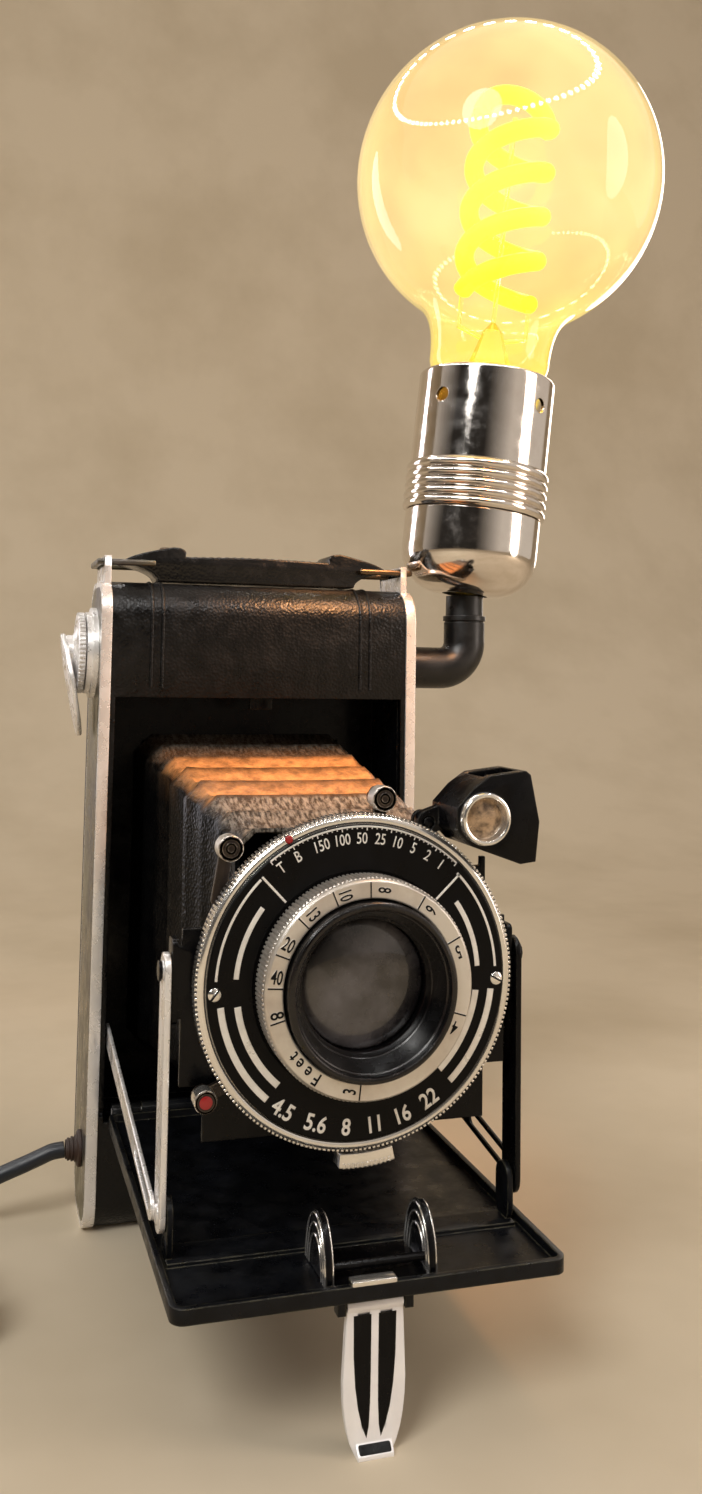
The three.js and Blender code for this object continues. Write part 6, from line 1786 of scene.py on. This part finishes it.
@dataclass
class Shutter:
    """Leaf shutter: housing, toothed speed ring, lettered dial, distance ring, lens mount, glass and levers."""

    housing: float = 30.0
    ring_outer: float = 31.55
    teeth: int = 220
    dial_depth: float = 9.0
    mark_sunk: float = 0.02
    mark_proud: float = 0.06
    ticks: int = 41
    tick_start: float = 48.0
    tick_step: float = 2.0
    speed_radius: float = 27.15
    speed_height: float = 2.2
    aperture_radius: float = 27.3
    aperture_height: float = 3.1
    distance_depth: float = 16.02
    speed_marks: tuple[tuple[str, float], ...] = (
        ("T", 126), ("B", 118), ("150", 107.5), ("100", 98.5), ("50", 90), ("25", 82), ("10", 74.5), ("5", 67),
        ("2", 60), ("1", 53),
    )
    distance_marks: tuple[tuple[str, float], ...] = (
        ("8", 83), ("10", 107), ("13", 129), ("20", 151), ("40", 170), ("3", -102), ("4", -25),
        ("5", 20), ("6", 51),
    )
    distance_lines: tuple[float, ...] = (91, 113, 136, 158, 176, -165, -96, -17, 27, 58)
    apertures: tuple[tuple[str, float], ...] = (
        ("4.5", -123), ("5.6", -108), ("8", -95), ("11", -83), ("16", -71), ("22", -58),
    )

    def case(self) -> None:
        """Makes the housing and the black dial on it."""
        profile = [
            (13.6, 2.0), (29.7, 2.0), (self.housing, 2.3), (self.housing, 8.2), (28.6, 8.2), (28.6, 3.2), (14.8, 3.2),
            (14.8, 8.2), (13.6, 8.2),
        ]
        case = turned("shutter_case", profile, LENS, 128, ring=True)
        dressed(case, "standard", CHROME, ["shutter_housing"])
        face = [
            (17.4, 8.3), (29.7, 8.3), (29.9, 8.5), (29.9, 8.85), (29.7, self.dial_depth), (21.2, self.dial_depth),
            (21.0, 8.8), (17.4, 8.8),
        ]
        dial = turned("dial", face, LENS, 128, ring=True)
        dressed(dial, "standard", DIAL_BLACK, ["face_plate"])

    def dial_marks(self) -> None:
        """Makes the bare-metal arcs, bars, figures and screws of the dial."""
        low, high = self.dial_depth - self.mark_sunk, self.dial_depth + self.mark_proud
        parts = []

        def arc(inner: float, outer: float, start: float, end: float) -> None:
            """Adds one bare-metal band."""
            parts.append(finished(slab("arc", sector(inner, outer, start, end), low, high, LENS), BARE_METAL))

        arc(29.35, 29.7, 48, 128)
        for start, end, radius, half in (
            (135, 177, 28.2, 0.25), (-173, -131, 27.4, 0.65), (143, 176, 24.4, 0.5), (-172, -131, 24.2, 0.65),
            (45, 3, 28.2, 0.25), (-6, -47, 27.4, 0.65), (36, 4, 24.4, 0.5), (-7, -47, 24.2, 0.65),
        ):
            arc(radius - half, radius + half, start, end)
        for angle in (134, 44):
            turn = spun(angle, "Z")
            outline = oblong(21.6, -0.22, 28.4, 0.22)
            parts.append(finished(slab("bar", outline, low, high, LENS @ turn), BARE_METAL))
        for i in range(self.ticks):
            angle = self.tick_start + self.tick_step * i
            arc(28.75 if i % 5 == 0 else 29.05, 29.5, angle - 0.22, angle + 0.22)
        for text, angle in self.speed_marks:
            place = on_dial(self.speed_radius, angle, high - 0.03, -90)
            parts.append(finished(figure(text, self.speed_height, place, 0.08, 0.75, 0.01), BARE_METAL))
        for text, angle in self.apertures:
            place = on_dial(self.aperture_radius, angle, high - 0.03, 90)
            parts.append(finished(figure(text, self.aperture_height, place, 0.08, 0.85, 0.03), BARE_METAL))
        dressed(joined("dial_marks", parts), "standard", None)
        screws = []
        for x in (-28.4, 28.4):
            place = LENS @ moved(x, -0.9, self.dial_depth)
            head = [(0, 0.55), (0.9, 0.5), (1.25, 0.25), (1.3, -0.3), (0, -0.3)]
            screws.append(finished(turned("head", head, place, 32), CHROME))
            slot = place @ Matrix.Rotation(0.9 if x < 0 else -0.5, 4, "Z")
            outline = oblong(-1.2, -0.17, 1.2, 0.17)
            screws.append(finished(slab("slot", outline, 0.3, 0.6, slot), ENGRAVING))
        dressed(joined("dial_screws", screws), "standard", None)

    def speed_ring(self) -> None:
        """Makes the chrome ring with its fine teeth, polished lip and red mark."""
        profile = [
            (30.1, 5.0), (self.ring_outer, 5.0), (self.ring_outer, 8.1), (31.3, 8.45), (30.9, 8.6), (30.4, 8.55),
            (30.1, 8.3),
        ]
        parts = [finished(turned("ring", profile, LENS, 160, ring=True), CHROME)]
        at, size = LENS @ moved(0, 0, 6.6), (0.9, 0.5, 2.9)
        parts.append(TEETH.grown("teeth", CHROME, at, Count=self.teeth, Radius=self.ring_outer, Size=size))
        dot = [(0, 0.35), (0.55, 0.3), (0.8, 0.05), (0.8, -0.4), (0, -0.4)]
        place = LENS @ spun(118, "Z") @ moved(30.85, 0, 8.55)
        parts.append(finished(turned("mark", dot, place, 24), RED_ENAMEL))
        dressed(joined("speed_ring_teeth", parts), "speed_ring", None, ["speed_ring"])

    def distance_ring(self) -> None:
        """Makes the satin distance ring with its engraved figures and fine grip."""
        profile = [
            (16.9, 9.3), (20.3, 9.3), (20.5, 9.5), (20.5, 15.2), (20.35, 15.7), (20.05, 16.0), (17.1, 16.0),
            (16.9, 15.8),
        ]
        parts = [finished(turned("ring", profile, LENS, 128, ring=True), SATIN_CHROME)]
        at = LENS @ moved(0, 0, 12.0)
        parts.append(TEETH.grown("grip", SATIN_CHROME, at, Count=150, Radius=20.45, Size=(0.55, 0.45, 5.4)))
        figures = [(text, 2.6, 18.55, angle, 180, 0.62) for text, angle in self.distance_marks]
        figures.append(("8", 2.6, 18.55, -169, 90, 0.8))
        figures += [(text, 2.4, 18.5, angle, -90, 0.85) for text, angle in zip("Feet", (-124, -131, -138, -143.5))]
        for text, height, radius, angle, turn, narrow in figures:
            place = on_dial(radius, angle, self.distance_depth, turn)
            parts.append(finished(figure(text, height, place, 0.06, narrow, 0.02), ENGRAVING))
        for angle in self.distance_lines:
            outline = oblong(17.1, -0.14, 20.0, 0.14)
            place = LENS @ spun(angle, "Z")
            parts.append(finished(slab("line", outline, 15.97, 16.05, place), ENGRAVING))
        dressed(joined("distance_ring", parts), "focus_ring", None, ["focus_ring"])

    def lens_mount(self) -> None:
        """Makes the blackened mount with its fine steps, and the glass in it."""
        profile = [
            (11.9, 6.8), (16.6, 6.8), (16.6, 18.0), (16.35, 18.35), (15.9, 18.5), (15.4, 18.4), (15.15, 18.0),
            (15.0, 17.4), (14.75, 17.2), (13.2, 13.6), (13.0, 13.4), (12.6, 12.2), (12.45, 12.0), (12.4, 9.0),
            (11.9, 9.0),
        ]
        mount = turned("lens_mount", profile, LENS, 128, ring=True, sharp=20)
        dressed(mount, "standard", BLACK_BRASS, ["lens_bezel"])
        glass = [(0, 9.1), (12.35, 9.1), (12.35, 9.9)]
        glass += [(12.35 * math.cos(angle), 9.9 + 2.2 * math.sin(angle)) for angle in angles(16)[1:-1]]
        glass.append((0, 12.1))
        lens = turned("front_lens", glass, LENS, 96, sharp=60)
        dressed(lens, "standard", LENS_GLASS, ["front_glass"])

    def button(self, x: float, z: float, radius: float, red: bool) -> Object:
        """Makes a lever's button with concentric turned rings, or a red one in a chrome rim.

        Args:
            x: Place to the right of the lens axis.
            z: Place above it.
            radius: Button radius.
            red: True for the self-timer's red button.

        Returns:
            The button.
        """
        place = LENS @ moved(x, z, 0)
        side = [(0, 4.5), (radius + 0.1, 4.5), (radius + 0.1, 7.7), (radius - 0.2, 8.0)]
        if red:
            rim = side + [(radius - 0.45, 8.0), (radius - 0.55, 7.8), (0, 7.8)]
            parts = [finished(turned("rim", rim, place, 48, sharp=25), CHROME)]
            cap = [(0, 8.15), (radius * 0.5, 8.1), (radius - 0.6, 7.85), (radius - 0.6, 7.6), (0, 7.6)]
            parts.append(finished(turned("cap", cap, place, 48), RED_ENAMEL))
            return joined("button", parts)
        rings = side + [
            (radius * 0.72, 8.0), (radius * 0.66, 7.6), (radius * 0.5, 7.6), (radius * 0.44, 8.0), (radius * 0.3, 8.0),
            (radius * 0.24, 7.7), (0, 7.7),
        ]
        return finished(turned("button", rings, place, 48, sharp=25), SATIN_CHROME)

    def levers(self) -> None:
        """Makes the lever arms, their buttons and the grip of the aperture lever."""
        rows = (
            ("cocking_lever", -25.6, 25.7, 2.4, False), ("release_lever", 5.0, 34.6, 2.4, False),
            ("timer_lever", -29.3, -20.7, 2.1, True),
        )
        for node, x, z, radius, red in rows:
            arm = finished(retraced(node, "arm", 0.2), LEVER_LACQUER)
            parts = [arm, self.button(x, z, radius, red)]
            dressed(joined(f"{node}_arm", parts), node, None, [node])
        parts = [finished(retraced("aperture_lever", "grip", 0.2), CHROME)]
        for i in range(-5, 6):
            place = on_dial(0, math.degrees(-1.5) + 1.5 * i, 0)
            parts.append(finished(slab("rib", sector(34.6, 35.5, -0.35, 0.35, 0.35), 3.9, 7.45, place), CHROME))
        dressed(joined("aperture_grip", parts), "aperture_lever", None, ["aperture_lever"])

    def build(self) -> None:
        """Makes the whole shutter and the standard that carries it."""
        plate = retraced("front_standard", "standard_plate", 0.25)
        dressed(plate, "standard", BLACK_ENAMEL, ["front_standard"])
        self.case()
        self.dial_marks()
        self.speed_ring()
        self.distance_ring()
        self.lens_mount()
        self.levers()


@dataclass
class Finder:
    """Reflecting finder: a glossy body that turns on its bracket, with a lens in a chrome ring and a top glass."""

    lens_x: float = 23.3
    lens_z: float = 31.2
    ring: float = 5.2

    def build(self) -> None:
        """Makes the finder and its bracket."""
        shell = retraced("finder_body", "finder_shell", 0.9, 4)
        dressed(shell, "finder", BLACK_ENAMEL, ["finder_body"])
        arm = retraced("finder_bracket", "finder_arm", 0.2)
        dressed(arm, "standard", BLACK_ENAMEL, ["finder_bracket"])
        place = LENS @ moved(self.lens_x, self.lens_z, 0)
        profile = [
            (3.9, 13.6), (self.ring, 13.6), (self.ring, 15.6), (self.ring - 0.25, 16.05), (self.ring - 0.6, 16.2),
            (self.ring - 0.95, 16.05), (4.1, 15.5), (4.0, 15.0), (3.9, 14.8),
        ]
        parts = [finished(turned("ring", profile, place, 64, ring=True), CHROME)]
        bead = [(0, 14.9), (1.5, 14.85), (2.8, 14.6), (3.95, 14.1), (3.95, 13.7), (0, 13.7)]
        parts.append(finished(turned("bead", bead, place, 64), FINDER_LENS))
        dressed(joined("finder_lens", parts), "finder", None, ["finder_window"])


# The lamp on top


@dataclass
class LampHolder:
    """Arm, and the chromed holder with its domed cap, ribbed ring and sleeve with dimple holes."""

    arm_y: float = -6.5
    tube: float = 5.75
    bend: float = 7.4
    bend_centre: Flat = (52.9, 148.4)
    collar: tuple[Flat, ...] = (
        (153.9, 5.75), (154.0, 5.5), (154.3, 5.5), (154.4, 6.0), (155.7, 6.0), (155.8, 5.3), (161.4, 5.2),
    )
    dome_mouth: float = 6.4
    dome_foot: float = 7.4
    cap: float = 19.3
    cap_height: float = 22.6
    dome: float = 12.0
    rib_ring: float = 20.4
    rib_height: float = 13.4
    rib_count: int = 5
    sleeve: float = 19.5
    sleeve_top: float = 62.7
    hole: float = 2.1
    hole_height: float = 53.7
    hole_angle: float = -1.05

    def arm(self) -> None:
        """Makes the bent tube with its seam and collar."""
        x, z = self.bend_centre
        path: list[Point] = [(36, self.arm_y, 141), (x, self.arm_y, 141)]
        for angle in angles(16)[1:]:
            path.append((x + self.bend * math.sin(angle), self.arm_y, z - self.bend * math.cos(angle)))
        sizes = [self.tube] * len(path)
        for height, size in self.collar:
            path.append((60.3, self.arm_y, height))
            sizes.append(size)
        tube = swept("arm", path, sizes, sides=48)
        smooth(tube.data, 30)
        dressed(tube, "camera", ARM_PAINT, ["arm_tube"])

    def cap_and_ring(self) -> None:
        """Makes the domed cap and the ribbed ring."""
        profile = [(self.dome_mouth, 0)]
        for angle in angles(24):
            radius = self.dome_foot + (self.cap - self.dome_foot) * math.sin(angle)
            profile.append((radius, self.dome * (1 - math.cos(angle))))
        profile += [(self.cap, self.cap_height - 0.6), (self.cap, self.cap_height - 0.3)]
        profile += [(self.cap - 0.3, self.cap_height), (self.cap - 1, self.cap_height)]
        for angle in reversed(angles(12)):
            radius = self.dome_foot + (self.cap - self.dome_foot - 1) * math.sin(angle)
            profile.append((radius, 1 + (self.dome - 1) * (1 - math.cos(angle))))
        profile.append((self.dome_mouth, 1))
        cap = turned("holder_dome", profile, LAMP, 128, ring=True)
        dressed(cap, "camera", LAMP_CHROME, ["holder_cap"])
        bottom, pitch = self.cap_height + 0.1, self.rib_height / self.rib_count
        ribs = [(self.sleeve - 1, bottom)]
        for i in range(self.rib_count):
            base = bottom + i * pitch
            ribs.append((self.rib_ring - 0.75, base + 0.1))
            for angle in angles(6, math.pi):
                radius = self.rib_ring - 0.55 + 0.55 * math.sin(angle)
                ribs.append((radius, base + pitch / 2 - 0.95 * math.cos(angle)))
        ribs += [(self.rib_ring - 0.75, bottom + self.rib_height), (self.sleeve - 1, bottom + self.rib_height)]
        ring = turned("holder_ribs", ribs, LAMP, 128, ring=True, sharp=50)
        dressed(ring, "camera", LAMP_CHROME, ["holder_ring"])

    def sleeve_with_holes(self) -> None:
        """Makes the sleeve and drills its four dimple holes."""
        low, high, outer = self.cap_height + self.rib_height + 0.2, self.sleeve_top, self.sleeve
        profile = [
            (outer - 1, low), (outer, low), (outer, low + 0.3), (outer, high - 1.0), (outer, high - 0.7),
            (outer - 0.2, high - 0.2), (outer - 0.5, high), (outer - 0.8, high - 0.2), (outer - 1, high - 0.7),
        ]
        body = turned("holder_barrel", profile, LAMP, 128, ring=True)
        drills = []
        for i in range(4):
            turn = Matrix.Rotation(self.hole_angle + i * math.pi / 2, 4, "Z") @ spun(90, "Y")
            place = LAMP @ moved(0, 0, self.hole_height) @ turn
            drills.append(turned("drill", oblong(0, 17, self.hole, 22), place, 32))
        drill = joined("drills", drills)
        cutter = body.modifiers.new("holes", "BOOLEAN")
        cutter.operation, cutter.solver, cutter.object = "DIFFERENCE", "EXACT", drill
        settled(body)
        bpy.data.objects.remove(drill)
        dressed(body, "camera", LAMP_CHROME, ["holder_sleeve"])

    def build(self) -> None:
        """Makes the arm and the holder."""
        self.arm()
        self.cap_and_ring()
        self.sleeve_with_holes()


@dataclass
class Bulb:
    """Globe bulb: blown glass with a wide neck, and a strand that winds up and back inside it."""

    globe: float = 44.6
    centre: float = 122.8
    neck: float = 17.2
    neck_height: float = 67.0
    wall: float = 0.8
    strand_radius: float = 10.6
    strand_low: float = 88.0
    strand_high: float = 142.0
    strand_turns: float = 2.0
    strand_thickness: float = 2.8
    arch_rise: float = 8.0

    def envelope(self) -> None:
        """Makes the glass as a thin closed wall that flows from its mouth through the neck to the globe."""
        start = math.asin(self.neck / self.globe) + 0.18 - math.pi / 2
        join = Vector((self.globe * math.cos(start), self.centre + self.globe * math.sin(start)))
        along = Vector((-math.sin(start), math.cos(start)))
        marks = [Vector((self.neck, self.neck_height)), Vector((self.neck + 0.2, 76.0)), join - along * 7, join]
        outer = [(11.4, 57.0), (11.4, 60.7), (14.2, 62.4), (16.2, 64.0)]
        for k in range(17):
            t = k / 16
            a, b, c, d = marks
            outer.append(tuple(a * (1 - t) ** 3 + b * 3 * t * (1 - t) ** 2 + c * 3 * t * t * (1 - t) + d * t**3))
        for angle in angles(48, math.pi / 2 - start)[1:]:
            turn = start + angle
            outer.append((self.globe * math.cos(turn), self.centre + self.globe * math.sin(turn)))
        outer[-1] = (0.0, outer[-1][1])
        inner = []
        for i, point in enumerate(outer):
            before, after = Vector(outer[max(i - 1, 0)]), Vector(outer[min(i + 1, len(outer) - 1)])
            way = (after - before).normalized()
            inside = Vector(point) - Vector((way.y, -way.x)) * self.wall
            inner.append((max(inside.x, 0.0), inside.y))
        inner[-1] = (0.0, outer[-1][1] - self.wall)
        inner[0] = (outer[0][0] - self.wall, outer[0][1])
        glass = turned("globe", outer + inner[::-1], LAMP, 128, ring=True, sharp=60)
        dressed(glass, "bulb", BULB_GLASS, ["bulb_glass"])

    def strand(self) -> None:
        """Makes the glowing strand."""
        place = LAMP @ moved(0, 0, self.strand_low)
        grown = WINDING.grown(
            "strand", STRAND, place, Radius=self.strand_radius, Turns=self.strand_turns,
            Height=self.strand_high - self.strand_low, Arch_Share=self.arch_rise / self.strand_radius,
            Thickness=self.strand_thickness,
        )
        dressed(grown, "bulb", None, ["filament"])

    def build(self) -> None:
        """Makes the bulb."""
        self.envelope()
        self.strand()


@dataclass
class CarriedNodes:
    """The CAD nodes whose shape is right as it is, each with its own finish."""

    def build(self) -> None:
        """Gives every carried node its finish."""
        finishes = {
            "film_gate": BLACK_ENAMEL, "bed_hinge_pin": NICKEL, "pressure_plate": BLACK_ENAMEL,
            "red_window": RED_CELLULOID, "shutter_blades": DIAL_BLACK, "rear_cell": BLACK_BRASS,
            "finder_top_glass": FINDER_TOP, "arm_nut": BRASS, "inner_lead": VINYL, "holder_insulator": STEATITE,
            "screw_shell": BRASS, "centre_contact": BRASS, "bulb_cap": BRASS, "bulb_contact": DIAL_BLACK,
            "bulb_stem": STEM_GLASS, "plug_pin_left": NICKEL, "plug_pin_right": NICKEL,
        }
        for name, finish in finishes.items():
            finished(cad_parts[name], finish)
            LOG.info("%s keeps its shape", name)
        plain = [n for n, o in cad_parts.items() if not o.hide_render and n not in finishes]
        LOG.info("nodes left plain: %s", plain)


def main() -> None:
    """Builds the studio, the cord and every sub-assembly."""
    logging.basicConfig(level=logging.INFO, format="%(name)s %(message)s")
    Studio().build()
    for part in (
        MainsCord(), BodyDress(), CarryStrap(), WindingKey(), Bellows(), BedAndFoot(), Linkage(), Shutter(), Finder(),
        LampHolder(), Bulb(), CarriedNodes(),
    ):
        part.build()


if __name__ == "__main__":
    main()
